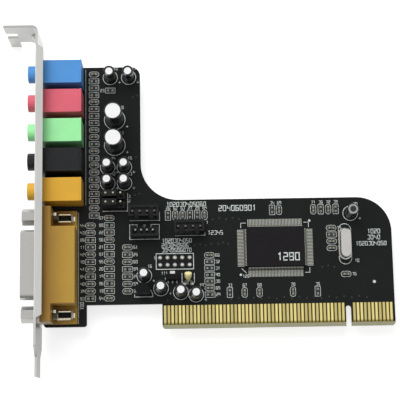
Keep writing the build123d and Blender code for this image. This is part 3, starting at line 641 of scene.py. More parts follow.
class Paint:
    """Every finish on the card: its name, colour, roughness and what its kind adds."""

    BOARD = Laminate("board_mask", linear(23, 25, 25), 0.42)
    GOLD = Gold("contact_gold", linear(226, 210, 138), 0.3)
    # The bracket's metal has painted shade on its folded tab and on the inner side of its foot.
    BRACKET = Sheet("bracket_steel", linear(206, 206, 203), 0.36, dim_above=102.6e-3, dull_foot=1.2e-3)
    SHELL = Sheet("shell_metal", linear(188, 187, 184), 0.34, (900.0, 900.0, 40.0))
    SCREW = Sheet("jackscrew_metal", linear(186, 185, 182), 0.32, (60.0, 900.0, 900.0))
    CLIP = Sheet("clip_metal", linear(232, 225, 202), 0.24)
    NUT = Sheet("nut_metal", linear(168, 164, 148), 0.4, (60.0, 900.0, 900.0))
    BLUE = Moulded("blue_plastic", linear(85, 150, 216), 0.42)
    PINK = Moulded("pink_plastic", linear(222, 104, 120), 0.42)
    GREEN = Moulded("green_plastic", linear(160, 240, 168), 0.42)
    BLACK = Moulded("black_plastic", linear(27, 28, 30), 0.42)
    ORANGE = Moulded("orange_plastic", linear(222, 170, 58), 0.42)
    SPRING = Sheet("spring_metal", linear(206, 186, 130), 0.3)
    CORE = Moulded("core_plastic", linear(40, 40, 42), 0.45)
    # The port's cover has painted shade: darker near the bracket, lighter towards its far end.
    COVER = Moulded("gold_plastic", linear(150, 112, 50), 0.4, far=linear(182, 145, 62),
                    reach=(-0.1045, -0.0935))
    CHIP = Moulded("chip_resin", linear(26, 24, 27), 0.5, 9000.0, 1e-5, mirror=0.12, dust=0.015)
    SMALL_RESIN = Moulded("small_resin", linear(20, 20, 22), 0.5, 9000.0, 1e-5, mirror=0.12, dust=0.02)
    TIN = Solder("tinned_lead", linear(168, 168, 162), 0.34)
    PAD = Solder("solder_joint", linear(132, 132, 127), 0.38, metal=0.7)
    CRYSTAL = Sheet("crystal_metal", linear(200, 199, 196), 0.4, (60.0, 40.0, 60.0))
    SLEEVE = Moulded("can_sleeve", linear(26, 26, 29), 0.3, 2600.0, 4e-6, 0.3)
    STRIPE = Ink("sleeve_stripe", linear(120, 122, 128), 0.4)
    CAN_TOP = CanTop("can_top", linear(250, 250, 250), 0.5)
    HEADER = Moulded("header_plastic", linear(21, 21, 23), 0.44)
    PIN = Sheet("pin_metal", linear(196, 190, 170), 0.26, (900.0, 900.0, 40.0))
    DARK_PIN = Sheet("dark_pin_metal", linear(116, 118, 115), 0.3, (900.0, 900.0, 40.0))
    TIN_PIN = Sheet("tinned_pin_metal", linear(168, 170, 166), 0.3, (900.0, 900.0, 40.0))
    BEAD = Moulded("bead_resin", linear(244, 236, 172), 0.28, 1800.0, 1.2e-5, 0.4)
    RESISTOR = Moulded("resistor_glaze", linear(38, 38, 42), 0.35)
    CERAMIC = Moulded("white_ceramic", linear(150, 149, 146), 0.5)
    CAPACITOR = Moulded("capacitor_ceramic", linear(108, 100, 88), 0.45)
    CHIP_LEAD = Solder("chip_lead", linear(186, 188, 178), 0.36, metal=0.75)
    DARK_END = Solder("dark_end", linear(46, 48, 50), 0.5, 900.0, 0.5)
    JOINT = Solder("bright_joint", linear(218, 218, 212), 0.34, 700.0, 0.8)
    # The transistor's tab and leads: painted shade darkens the leads below the tab.
    TAB = Solder("transistor_tab", linear(222, 222, 218), 0.34, 700.0, 0.8, 17.0e-3)
    INK = Ink("white_print", linear(218, 226, 221), 0.55)
    TENT = Moulded("covered_ring", linear(58, 60, 60), 0.4)
    # Dark finish of painted shade, for the inside of holes and the hollow of a clip.
    HOLE = Moulded("hole_shade", linear(16, 16, 17), 0.6)


class Shape:
    """Collects closed shapes, in millimetres, into one mesh with several finishes."""

    placed: ClassVar[list[bpy.types.Object]] = []

    def __init__(self, name: str, *finishes: Finish) -> None:
        """Begin an empty mesh.

        Args:
            name: Name of the piece.
            finishes: Its finishes, numbered from zero.
        """
        self.name = name
        self.finishes = finishes
        self.mesh = bmesh.new()

    def corners(self, points: Iterable[Sequence[float]]) -> Corners:
        """Add a corner at each point."""
        return [self.mesh.verts.new(point) for point in points]

    def face(self, corners: Corners, finish: int = 0, smooth: bool = False) -> None:
        """Add a face.

        Args:
            corners: Its corners, in order.
            finish: Number of its finish.
            smooth: Whether it is shaded as part of a curve.
        """
        face = self.mesh.faces.new(corners)
        face.material_index = finish
        face.smooth = smooth

    def skin(self, rings: Sequence[Corners], finish: int = 0, smooth: bool = True) -> None:
        """Close a stack of rings that have the same number of corners.

        Args:
            rings: The rings, from bottom to top.
            finish: Number of the finish.
            smooth: Whether the sides are shaded as a curve.
        """
        self.face(rings[0][::-1], finish)
        self.face(rings[-1], finish)
        for lower, upper in zip(rings, rings[1:]):
            for i in range(len(lower)):
                j = (i + 1) % len(lower)
                self.face((lower[i], lower[j], upper[j], upper[i]), finish, smooth)

    def prism(self, outline: Sequence[Point], low: float, high: float, finish: int = 0,
              inset: float = 0.0) -> None:
        """Add an upright prism, drawn in a little at its top.

        Args:
            outline: Corners anticlockwise in X and Y.
            low: Height of its base.
            high: Height of its top.
            finish: Number of its finish.
            inset: Share by which the top is smaller.
        """
        middle_x = sum(x for x, _ in outline) / len(outline)
        middle_y = sum(y for _, y in outline) / len(outline)
        keep = 1.0 - inset
        base = self.corners((x, y, low) for x, y in outline)
        top = self.corners((middle_x + (x - middle_x) * keep, middle_y + (y - middle_y) * keep, high)
                           for x, y in outline)
        self.skin((base, top), finish, smooth=False)

    def block(self, low: Sequence[float], high: Sequence[float], finish: int = 0) -> None:
        """Add a box between two corners."""
        outline = ((low[0], low[1]), (high[0], low[1]), (high[0], high[1]), (low[0], high[1]))
        self.prism(outline, low[2], high[2], finish)

    def soft_block(self, low: Sequence[float], high: Sequence[float], edge: float, finish: int = 0) -> None:
        """Add a box with its upright and top edges rounded off.

        Args:
            low: Lowest corner.
            high: Highest corner.
            edge: Radius of the edges.
            finish: Number of the finish.
        """
        middle = ((low[0] + high[0]) / 2, (low[1] + high[1]) / 2)
        size = (high[0] - low[0], high[1] - low[1])
        profile = [(0.0, low[2]), (0.0, high[2] - edge)]
        profile += [(edge * (1 - cos(a)), high[2] - edge + edge * sin(a)) for a in ROUND]
        rings = []
        for draw, z in profile:
            outline = rounded(middle, (size[0] - 2 * draw, size[1] - 2 * draw), edge * 0.9, 3)
            rings.append(self.corners((x, y, z) for x, y in outline))
        self.skin(rings, finish)

    def lathe(self, profile: Sequence[tuple[float, float, int]], centre: Point, steps: int = 32,
              place: Optional[Matrix] = None, pick: Optional[Callable[[float, int], int]] = None) -> None:
        """Add a turned shape.

        Args:
            profile: Radius, height and finish, from bottom to top; a radius of zero closes an end.
            centre: Axis in X and Y.
            steps: Facets round it.
            place: Turn and shift applied before the axis is set in place.
            pick: Chooses a face's finish from its angle and the profile's finish.
        """
        turn = place or Matrix.Identity(4)
        shift = Vector((centre[0], centre[1], 0.0))
        rings = []
        for radius, height, _ in profile:
            angles = [tau * i / steps for i in range(steps)] if radius > 0 else [0.0]
            rings.append(self.corners(turn @ Vector((radius * cos(a), radius * sin(a), height)) + shift
                                      for a in angles))
        for lower, upper, (_, _, finish) in zip(rings, rings[1:], profile[1:]):
            for i in range(steps):
                j = (i + 1) % steps
                quad = (lower[i % len(lower)], lower[j % len(lower)], upper[j % len(upper)], upper[i % len(upper)])
                chosen = pick(tau * (i + 0.5) / steps, finish) if pick else finish
                self.face(list(dict.fromkeys(quad)), chosen, True)

    def ring(self, centre: Point, radius: float, width: float, low: float, high: float, finish: int = 0,
             steps: int = 32) -> None:
        """Add a flat ring.

        Args:
            centre: Its middle.
            radius: Radius of the middle of its band.
            width: Width of the band.
            low: Height of its underside.
            high: Height of its top.
            finish: Number of its finish.
            steps: Facets round it.
        """
        points = [(centre[0] + radius * cos(tau * i / steps), centre[1] + radius * sin(tau * i / steps))
                  for i in range(steps)]
        self.ribbon(points, width, low, high, finish, True)

    def ribbon(self, points: Sequence[Point], width: float, low: float, high: float, finish: int = 0,
               closed: bool = False) -> None:
        """Add a flat line of one width along points.

        Args:
            points: Middle of the line.
            width: Its width.
            low: Height of its underside.
            high: Height of its top.
            finish: Number of its finish.
            closed: Whether it runs back to its start.
        """
        count = len(points)
        sides = []
        for i, point in enumerate(points):
            before = points[i - 1] if closed or i > 0 else point
            after = points[(i + 1) % count] if closed or i < count - 1 else point
            sides.append(mitre(before, point, after, width / 2))
        under, over = [[self.corners((x, y, z) for x, y in pair) for pair in sides] for z in (low, high)]
        for i in range(count if closed else count - 1):
            (left, right), (left_2, right_2) = under[i], under[(i + 1) % count]
            (top_left, top_right), (top_left_2, top_right_2) = over[i], over[(i + 1) % count]
            for quad in ((top_right, top_right_2, top_left_2, top_left), (left, left_2, right_2, right),
                         (right, right_2, top_right_2, top_right), (top_left, top_left_2, left_2, left)):
                self.face(quad, finish)
        if not closed:
            for i, flip in ((0, 1), (count - 1, -1)):
                end = (under[i][0], under[i][1], over[i][1], over[i][0])
                self.face(end[::flip], finish)

    def stepped(self, xs: Sequence[float], ys: Sequence[float], zs: Sequence[float],
                filled: Callable[[float, float, float], bool], finish: int = 0) -> None:
        """Add a moulding with square steps, cut along planes.

        Args:
            xs: Planes across X, rising.
            ys: Planes across Y, rising.
            zs: Planes across Z, rising.
            filled: Whether there is material at a point.
            finish: Number of its finish.
        """
        planes = (xs, ys, zs)
        counts = [range(len(axis) - 1) for axis in planes]
        solid = {cell for cell in product(*counts)
                 if filled(*((axis[i] + axis[i + 1]) / 2 for axis, i in zip(planes, cell)))}
        corners: dict[tuple[int, ...], bmesh.types.BMVert] = {}
        for cell in sorted(solid):
            for axis, side in product(range(3), (0, 1)):
                beyond = list(cell)
                beyond[axis] += 2 * side - 1
                if tuple(beyond) in solid:
                    continue
                quad = []
                for first, second in ((0, 0), (1, 0), (1, 1), (0, 1)):
                    at = list(cell)
                    at[axis] += side
                    at[(axis + 1) % 3] += first
                    at[(axis + 2) % 3] += second
                    key = tuple(at)
                    if key not in corners:
                        corners[key] = self.mesh.verts.new([plane[i] for plane, i in zip(planes, key)])
                    quad.append(corners[key])
                self.face(quad, finish)
        self.mesh.normal_update()
        bmesh.ops.dissolve_limit(self.mesh, angle_limit=FLAT, verts=self.mesh.verts[:], edges=self.mesh.edges[:])

    def tube(self, points: Sequence[Vector], radius: float, finish: int = 0, steps: int = 10) -> None:
        """Add a round wire through points, closed at both ends.

        Args:
            points: Middle of the wire.
            radius: Its radius.
            finish: Number of its finish.
            steps: Facets round it.
        """
        rings = []
        for i, point in enumerate(points):
            ahead = (points[min(i + 1, len(points) - 1)] - points[max(i - 1, 0)]).normalized()
            side = ahead.cross(Vector(ASKEW)).normalized()
            up = side.cross(ahead)
            angles = [tau * k / steps for k in range(steps)]
            rings.append(self.corners(point + (side * cos(a) + up * sin(a)) * radius for a in angles))
        self.skin(rings, finish)

    def place(self, slot: str, *nodes: str, smooth_angle: float = CREASE) -> bpy.types.Object:
        """Put the shape on the card.

        Args:
            slot: Material slot of the record that it belongs to; not used.
            nodes: CAD nodes that it stands for.
            smooth_angle: Edges that bend by more than this, in radians, show as creases.

        Returns:
            The new object.
        """
        bmesh.ops.recalc_face_normals(self.mesh, faces=self.mesh.faces[:])
        bmesh.ops.scale(self.mesh, vec=(MM, MM, MM), verts=self.mesh.verts[:])
        for edge in self.mesh.edges:
            if len(edge.link_faces) == 2 and edge.calc_face_angle() > smooth_angle:
                edge.smooth = False
        data = bpy.data.meshes.new(self.name)
        self.mesh.to_mesh(data)
        self.mesh.free()
        for finish in self.finishes:
            data.materials.append(finish.material())
        piece = bpy.data.objects.new(self.name, data)
        bpy.context.scene.collection.objects.link(piece)
        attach(piece, BODY)
        if nodes:
            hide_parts(*nodes)
        self.placed.append(piece)
        return piece


def mitre(before: Point, point: Point, after: Point, half: float) -> tuple[Point, Point]:
    """Left and right edge of a line of some width at one of its points.

    Args:
        before: Point before it.
        point: The point.
        after: Point after it.
        half: Half of the line's width.

    Returns:
        The two edge points.
    """
    def unit(a: Point, b: Point) -> Point:
        """Direction from one point to another, of length one."""
        length = hypot(b[0] - a[0], b[1] - a[1]) or 1.0
        return (b[0] - a[0]) / length, (b[1] - a[1]) / length

    first = unit(before, point) if before != point else unit(point, after)
    second = unit(point, after) if after != point else first
    normal = (-(first[1] + second[1]), first[0] + second[0])
    size = hypot(*normal) or 1.0
    normal = (normal[0] / size, normal[1] / size)
    share = max(normal[0] * -first[1] + normal[1] * first[0], MITRE_LIMIT)
    reach = half / share
    return ((point[0] + normal[0] * reach, point[1] + normal[1] * reach),
            (point[0] - normal[0] * reach, point[1] - normal[1] * reach))


def rounded(centre: Point, size: Point, radius: float, steps: int = 4) -> list[Point]:
    """Outline of a rectangle with round corners, anticlockwise.

    Args:
        centre: Its middle.
        size: Width and height.
        radius: Corner radius.
        steps: Parts of each corner.

    Returns:
        The outline's points, none of them twice.
    """
    radius = min(radius, size[0] / 2, size[1] / 2)
    points: list[Point] = []
    for corner, (sx, sy) in enumerate(((1, 1), (-1, 1), (-1, -1), (1, -1))):
        x = centre[0] + sx * (size[0] / 2 - radius)
        y = centre[1] + sy * (size[1] / 2 - radius)
        for i in range(steps + 1):
            angle = corner * pi / 2 + i / steps * pi / 2
            point = (x + radius * cos(angle), y + radius * sin(angle))
            if not points or min(dist(point, points[0]), dist(point, points[-1])) > SAME:
                points.append(point)
    return points


def span(node: str) -> tuple[Vector, Vector]:
    """Lowest and highest corner of a CAD node in millimetres."""
    low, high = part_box(node)
    return low / MM, high / MM


def middle(node: str) -> Vector:
    """Middle of a CAD node in millimetres."""
    low, high = span(node)
    return (low + high) / 2


def islands(node: str) -> list[tuple[Vector, Vector]]:
    """Find the separate solids of a CAD node.

    Args:
        node: Name of the node.

    Returns:
        Lowest and highest corner of each solid, in millimetres, in a fixed order.
    """
    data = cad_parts[node].data
    keys = [tuple(round(c / MM, 3) for c in v.co) for v in data.vertices]
    parent: dict[tuple, tuple] = {key: key for key in keys}

    def root(key: tuple) -> tuple:
        """Follow a corner to the one that stands for its solid.

        Args:
            key: A corner.

        Returns:
            The corner that stands for the solid.
        """
        while parent[key] != key:
            parent[key] = parent[parent[key]]
            key = parent[key]
        return key

    for polygon in data.polygons:
        first = keys[polygon.vertices[0]]
        for index in polygon.vertices[1:]:
            parent[root(keys[index])] = root(first)
    groups: dict[tuple, list[tuple]] = {}
    for key in parent:
        groups.setdefault(root(key), []).append(key)
    boxes = [(Vector(map(min, zip(*members))), Vector(map(max, zip(*members)))) for members in groups.values()]
    return sorted(boxes, key=lambda box: tuple(box[0]))


def tails(node: str) -> list[Point]:
    """Find where the leads of a CAD node come out under the board.

    Args:
        node: Name of the node.

    Returns:
        Middle of each lead's end in millimetres.
    """
    lows = [v.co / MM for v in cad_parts[node].data.vertices]
    deepest = min(v.z for v in lows)
    points = sorted({(round(v.x, 3), round(v.y, 3)) for v in lows if v.z < deepest + ONE_LEVEL})
    groups: list[list[Point]] = []
    for point in points:
        home = next((g for g in groups if hypot(g[0][0] - point[0], g[0][1] - point[1]) < LEAD_APART), None)
        if home is None:
            groups.append([point])
        else:
            home.append(point)
    return [(sum(p[0] for p in g) / len(g), sum(p[1] for p in g) / len(g)) for g in groups]


def dress(node: str, finish: Finish, edge: float = 0.0) -> None:
    """Give a CAD node its finish and, if asked, soften its edges without touching its mesh.

    Args:
        node: Name of the node.
        finish: Its finish.
        edge: Width of the softened edges in millimetres.
    """
    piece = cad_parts[node]
    piece.data.materials.clear()
    piece.data.materials.append(finish.material())
    if edge:
        weld = piece.modifiers.new("weld", "WELD")
        weld.merge_threshold = SAME
        soften(piece, edge)


def soften(piece: bpy.types.Object, edge: float) -> None:
    """Round the creases of a piece with a modifier.

    Args:
        piece: The piece.
        edge: Width of the rounding in millimetres.
    """
    bevel = piece.modifiers.new("edges", "BEVEL")
    bevel.width = edge * MM
    bevel.segments = 2
    bevel.limit_method = "ANGLE"
    bevel.angle_limit = CREASE
    bevel.use_clamp_overlap = True


class Kind(Enum):
    """What sits in a printed cell."""

    RESISTOR = "chip_resistors"
    CAPACITOR = "chip_capacitors"


class CanFace(IntEnum):
    """Finishes of a can capacitor by number."""

    SLEEVE = 0
    END = 1
    STRIPE = 2
    RING = 3
    DARK_END = 4


class ClipFace(IntEnum):
    """Finishes of a screw clip by number."""

    SHEET = 0
    NUT = 1
    # Painted shade for the hollow between a clip's rails.
    HOLLOW = 2


@dataclass
class Board:
    """The board itself, its slot contacts and the small holes that join its two sides."""

    via: float = 0.62
    via_wall: float = 0.16
    via_hole: float = 0.3
    via_drop: float = 0.004
    via_stagger: float = 0.45
    via_rows: tuple[tuple[float, float, float, int], ...] = (
        (-60.0, 28.6, 1.9, 8), (-46.0, 37.6, 2.3, 5), (-44.2, 29.0, 1.7, 3), (-8.6, 20.4, 2.1, 3),
        (-40.2, 9.7, 2.6, 12), (-9.2, 9.7, 2.6, 7), (-62.0, 9.6, 2.4, 2), (-72.9, 46.6, 1.6, 2),
        (-72.4, 60.2, 1.4, 1), (-84.6, 47.6, 1.3, 2), (-84.9, 68.6, 1.5, 1), (-73.4, 82.0, 1.6, 2))

    def build(self) -> None:
        """Add the plated through holes to both faces."""
        vias = Shape("plated_holes", Paint.TENT, Paint.HOLE)
        faces = ((TOP, TOP + PRINT_LIFT), (BOTTOM - PRINT_LIFT, BOTTOM))
        for x, y, pitch, count in self.via_rows:
            for i, (low, high) in product(range(count), faces):
                spot = (x + i * pitch, y + self.via_stagger * (i % 2))
                vias.ring(spot, self.via / 2 - self.via_wall / 2, self.via_wall, low, high, 0, 12)
                # Painted shade: a dark disc in the middle of each hole stands for the shade inside it.
                hole = rounded(spot, (self.via_hole, self.via_hole), self.via_hole / 2, 2)
                vias.prism(hole, low, high - self.via_drop, 1)
        vias.place("tinned_metal")

    def dress(self) -> None:
        """Finish the board and its contacts."""
        dress("circuit_board", Paint.BOARD)
        for side in ("front", "back"):
            dress(f"edge_contacts_{side}", Paint.GOLD)


@dataclass
class Bracket:
    """The folded bracket with the gusset pressed into its fold."""

    corner: Point = (-106.0, 103.14)
    gusset: float = 2.7
    gusset_half: float = 1.5
    gusset_z: float = 6.3
    gusset_least: float = 0.15
    gusset_swell: float = 0.6
    section: tuple[Point, ...] = ((0.0, 0.0), (1.0, 0.0), (0.72, 0.38), (0.38, 0.72), (0.0, 1.0))
    slices: int = 10
    edge: float = 0.12

    def build(self) -> None:
        """Add the gusset inside the fold, a pillow across the corner."""
        rib = Shape("bracket_gusset", Paint.BRACKET)
        x, y = self.corner
        rings = []
        for i in range(self.slices + 1):
            share = i / self.slices
            leg = self.gusset_least + self.gusset * sin(pi * share) ** self.gusset_swell
            z = self.gusset_z + (share - 0.5) * 2 * self.gusset_half
            rings.append(rib.corners((x - a * leg, y - b * leg, z) for a, b in self.section))
        rib.skin(rings)
        rib.place("bracket_steel")

    def dress(self) -> None:
        """Finish the sheet."""
        # The bracket's finish carries painted shade on its folded tab and on the inner side of its foot.
        dress("slot_bracket", Paint.BRACKET, self.edge)


@dataclass
class Jacks:
    """Five moulded jacks in the order of their colours, with their springs."""

    finishes: tuple[tuple[str, Finish], ...] = (
        ("line_in", Paint.BLUE), ("microphone", Paint.PINK), ("front_speaker", Paint.GREEN),
        ("rear_speaker", Paint.BLACK), ("center_speaker", Paint.ORANGE))
    edge: float = 0.16

    def dress(self) -> None:
        """Finish housings and springs."""
        for name, finish in self.finishes:
            dress(f"{name}_jack", finish, self.edge)
            dress(f"{name}_jack_contacts", Paint.SPRING)


@dataclass
class GamePort:
    """Game port: shell, core, cover, formed clips, pins and jackscrews."""

    shelf: float = 2.3
    rail: float = 0.44
    rail_gap: float = 1.6
    rail_top: float = 4.5
    web_half: float = 0.3
    floor: float = 0.15
    nut_length: float = 1.9
    nut_top: float = 6.5
    nut_turns: int = 5
    nut_ridge: float = 0.28
    tail: Point = (0.85, 1.6)
    shell_edge: float = 0.12
    cover_edge: float = 0.25
    screw_edge: float = 0.18

    def build(self) -> None:
        """Form the clips."""
        for name in ("lower", "upper"):
            self.clip(f"game_port_clip_{name}")

    def clip(self, node: str) -> None:
        """Form one clip: two rounded rails, a bar behind them, a threaded nut and a tail.

        Args:
            node: CAD node that it stands for.
        """
        low, high = span(node)
        y = (low.y + high.y) / 2
        side = self.rail_gap / 2 + self.rail
        shape = Shape(f"{node}_formed", Paint.CLIP, Paint.NUT, Paint.HOLE)
        self.rails(shape, low.x + self.nut_length - 0.5, high.x - 2.2 * self.rail, y, side)
        self.nut(shape, low.x, y, side + self.rail)
        tail_x, tail_y = tails(node)[0]
        shape.block((tail_x - self.tail[0] / 2, tail_y - self.tail[1] / 2, low.z),
                    (tail_x + self.tail[0] / 2, tail_y + self.tail[1] / 2, self.shelf + 0.1), ClipFace.SHEET)
        shape.place("clip_metal", node)

    def rails(self, shape: Shape, front: float, rear: float, y: float, side: float) -> None:
        """Add the rails, the bar behind them, the webs under both and a dark floor of painted shade between the
        rails.

        Args:
            shape: The clip.
            front: Where the rails start in X.
            rear: Where the bar lies in X.
            y: Middle of the clip in Y.
            side: Distance of the rails from it.
        """
        web, base, level = self.web_half, self.shelf, self.rail_top - self.rail
        for sign in (-1, 1):
            line = ((front, level), (front + 0.4, level), (rear - 0.9, level), (rear - 0.5, level - 0.2))
            shape.tube([Vector((x, y + sign * side, z)) for x, z in line], self.rail, ClipFace.SHEET, 12)
        line = ((y - side - 0.1, level - 0.3), (y - side + 0.5, level - 0.1), (y + side - 0.5, level - 0.1),
                (y + side + 0.1, level - 0.3))
        shape.tube([Vector((rear, at, z)) for at, z in line], self.rail * 0.9, ClipFace.NUT, 12)
        for sign in (-1, 1):
            shape.block((front, y + sign * side - web, base), (rear - 0.4, y + sign * side + web, level),
                        ClipFace.SHEET)
        shape.block((rear - web, y - side + web, base), (rear + web, y + side - web, level - 0.2), ClipFace.NUT)
        # Painted shade: a dark floor between the rails, where the hollow of the clip lies in shade.
        shape.block((front, y - side + web, base), (rear - web, y + side - web, base + self.floor), ClipFace.HOLLOW)

    def nut(self, shape: Shape, front: float, y: float, radius: float) -> None:
        """Add the ridged nut and the lug on it.

        Args:
            shape: The clip.
            front: Where the nut starts in X.
            y: Its middle in Y.
            radius: Radius over the ridges.
        """
        profile = [(0.0, 0.0, ClipFace.NUT)]
        step = self.nut_length / self.nut_turns
        for i in range(self.nut_turns):
            profile += [(radius - self.nut_ridge, step * i, ClipFace.NUT), (radius, step * (i + 0.5), ClipFace.NUT)]
        profile += [(radius - self.nut_ridge, self.nut_length, ClipFace.NUT), (0.0, self.nut_length, ClipFace.NUT)]
        turn = Matrix.Translation((front, y, self.nut_top - radius)) @ Matrix.Rotation(pi / 2, 4, "Y")
        shape.lathe(profile, (0.0, 0.0), 24, turn)
        shape.soft_block((front + 0.1, y + 0.5, self.nut_top - 0.35), (front + 1.2, y + radius, self.nut_top), 0.1,
                         ClipFace.SHEET)

    def dress(self) -> None:
        """Finish the port's CAD nodes."""
        dress("game_port_shell", Paint.SHELL, self.shell_edge)
        dress("game_port_core", Paint.CORE)
        # The cover's finish paints shade near the bracket.
        dress("game_port_cover", Paint.COVER, self.cover_edge)
        dress("game_port_pins", Paint.PIN)
        dress("jackscrews", Paint.SCREW, self.screw_edge)


@dataclass
class AudioChip:
    """The flat chip: its leads with rounded bends, their pads and the mark of the first lead."""

    pitch: float = 0.5
    width: float = 0.24
    thick: float = 0.16
    reach: float = 1.6
    foot: float = 0.75
    counts: tuple[int, int] = (38, 26)
    pad_width: float = 0.26
    pad_from: float = 0.5
    pad_to: float = 3.05
    pad_rise: float = 0.05
    dimple: float = 0.75
    dimple_inset: float = 1.7
    ejector: float = 0.55
    ejector_inset: float = 2.6
    ejectors: Point = (-6.5, 3.5)
    mark_sink: float = 0.02
    lead_smooth: float = 1.2
    edge: float = 0.05

    def path(self, height: float) -> list[Point]:
        """Draw the middle line of a lead with its two bends.

        Args:
            height: Where it leaves the body, above the board.

        Returns:
            Points by distance from the body and height above the board.
        """
        start = self.reach - self.foot
        return [(-0.1, height), (0.22, height), (0.36, height - 0.06), (0.44, height - 0.2),
                (start - 0.12, self.thick + 0.16), (start, self.thick / 2 + 0.05), (start + 0.14, self.thick / 2),
                (self.reach, self.thick / 2)]

    def lead(self, shape: Shape, spin: Matrix, line: Sequence[Point], half: float, side: float) -> None:
        """Add one lead.

        Args:
            shape: All leads.
            spin: Turn and shift of its row.
            line: Its middle line.
            half: Distance of the body's side from the chip's middle.
            side: Its place along the row.
        """
        rings = []
        for k, (out, rise) in enumerate(line):
            ahead, behind = line[min(k + 1, len(line) - 1)], line[max(k - 1, 0)]
            slope = atan2(ahead[1] - behind[1], ahead[0] - behind[0])
            up = (-sin(slope) * self.thick / 2, cos(slope) * self.thick / 2)
            rings.append(shape.corners(
                spin @ Vector((half + out + s * up[0], side + w * self.width / 2, rise + s * up[1]))
                for s, w in ((-1, -1), (-1, 1), (1, 1), (1, -1))))
        shape.skin(rings)

    def pad(self, shape: Shape, spin: Matrix, half: float, side: float) -> None:
        """Add the pad under one lead.

        Args:
            shape: All pads.
            spin: Turn and shift of its row.
            half: Distance of the body's side from the chip's middle.
            side: Its place along the row.
        """
        ends = ((self.pad_from, -1), (self.pad_to, -1), (self.pad_to, 1), (self.pad_from, 1))
        corners = [spin @ Vector((half + a, side + b * self.pad_width / 2, 0.0)) for a, b in ends]
        shape.prism([(corner.x, corner.y) for corner in corners], TOP, TOP + self.pad_rise)

    def build(self) -> None:
        """Add leads, pads, the dimple and the ejector marks."""
        low, high = span("audio_chip_body")
        centre = (low + high) / 2
        leads = Shape("audio_chip_gull_leads", Paint.CHIP_LEAD)
        pads = Shape("audio_chip_pads", Paint.CHIP_LEAD)
        rows = ((0.0, (high.x - low.x) / 2, self.counts[1]), (pi / 2, (high.y - low.y) / 2, self.counts[0]))
        line = self.path(centre.z - TOP)
        for (turn, half, count), flip in product(rows, (0.0, pi)):
            spin = Matrix.Translation((centre.x, centre.y, TOP)) @ Matrix.Rotation(turn + flip, 4, "Z")
            for i in range(count):
                side = (i - (count - 1) / 2) * self.pitch
                self.lead(leads, spin, line, half, side)
                self.pad(pads, spin, half, side)
        leads.place("tinned_metal", "audio_chip_leads", smooth_angle=self.lead_smooth)
        pads.place("tinned_metal")
        mark = Shape("audio_chip_dimple", Paint.CHIP)
        sunk = high.z - self.mark_sink
        spot = (high.x - self.dimple_inset, high.y - self.dimple_inset)
        mark.ring(spot, self.dimple, 0.1, sunk, high.z + 0.015, 0, 28)
        for x in self.ejectors:
            mark.ring((centre.x + x, low.y + self.ejector_inset), self.ejector, 0.08, sunk, high.z + 0.012, 0, 24)
        mark.place("chip_resin")

    def dress(self) -> None:
        """Finish the chip's body."""
        dress("audio_chip_body", Paint.CHIP, self.edge)


@dataclass
class CanCapacitors:
    """Can capacitors: sleeve with a stripe, shrunk lip and a scored metal top.

    Attributes:
        foot: Draw and height of the sleeve's lower points.
        neck: Draw and drop of its upper points, as shares of the shoulder.
        bright_ring: Draw of the outer and inner edge of the ring on a dark can.
    """

    small: tuple[str, ...] = tuple(f"{group}_capacitor_{i}" for group, count in
                                   (("top", 2), ("output", 4), ("lower", 4)) for i in range(1, count + 1))
    large: tuple[str, ...] = ("supply_capacitor_1", "supply_capacitor_2")
    dark: tuple[str, ...] = ("end_capacitor",)
    small_lip: float = 0.72
    large_lip: float = 0.5
    dark_lip: float = 0.75
    foot: tuple[Point, ...] = ((0.35, 0.0), (0.35, 0.2), (0.0, 0.5), (0.0, 1.3), (0.14, 1.6), (0.02, 1.95))
    neck: tuple[Point, ...] = ((0.0, 1.6), (0.35, 0.5), (1.0, 0.0))
    shoulder: float = 0.22
    bright_ring: Point = (0.35, 0.95)
    recess: float = 0.12
    recess_slope: float = 0.02
    stripe_half: float = 0.38
    stripe_angle: float = -2.2
    score: float = 0.14
    score_gap: float = 0.25
    score_turn: float = 0.4

    def can(self, node: str, lip: float) -> None:
        """Build one capacitor.

        Args:
            node: CAD node that it stands for.
            lip: Width of the sleeve's lip over the can's end.
        """
        low, high = span(node)
        spot = ((low.x + high.x) / 2, (low.y + high.y) / 2)
        radius, top = (high.x - low.x) / 2, high.z - self.recess
        end, wall = CanFace.END, CanFace.SLEEVE
        profile = [(0.0, low.z, wall)]
        profile += [(radius - draw, low.z + rise, wall) for draw, rise in self.foot]
        profile += [(radius - self.shoulder * draw, high.z - self.shoulder * drop, wall) for draw, drop in self.neck]
        inner = lip
        if node in self.dark:
            end, inner = CanFace.DARK_END, self.bright_ring[1]
            profile.append((radius - self.bright_ring[0], high.z, wall))
            wall = CanFace.RING
        profile += [(radius - inner, high.z, wall), (radius - inner - self.recess_slope, top, wall), (0.0, top, end)]

        def stripe(angle: float, finish: int) -> int:
            """Finish of a face, with the stripe on one side of the sleeve."""
            turn = (angle - self.stripe_angle + pi) % tau - pi
            return CanFace.STRIPE if finish == CanFace.SLEEVE and abs(turn) < self.stripe_half else finish

        shape = Shape(f"{node}_can", Paint.SLEEVE, Paint.CAN_TOP, Paint.STRIPE, Paint.TIN, Paint.DARK_END)
        shape.lathe(profile, spot, 40, pick=stripe)
        reach = radius - lip - self.score_gap
        for turn in (self.score_turn, pi / 2 + self.score_turn):
            ends = [(spot[0] + s * reach * cos(turn), spot[1] + s * reach * sin(turn)) for s in (-1, 1)]
            shape.ribbon(ends, self.score, top - 0.01, top + 0.02, end)
        shape.place("can_sleeve", node)

    def build(self) -> None:
        """Build every can."""
        for nodes, lip in ((self.small, self.small_lip), (self.large, self.large_lip), (self.dark, self.dark_lip)):
            for node in nodes:
                self.can(node, lip)


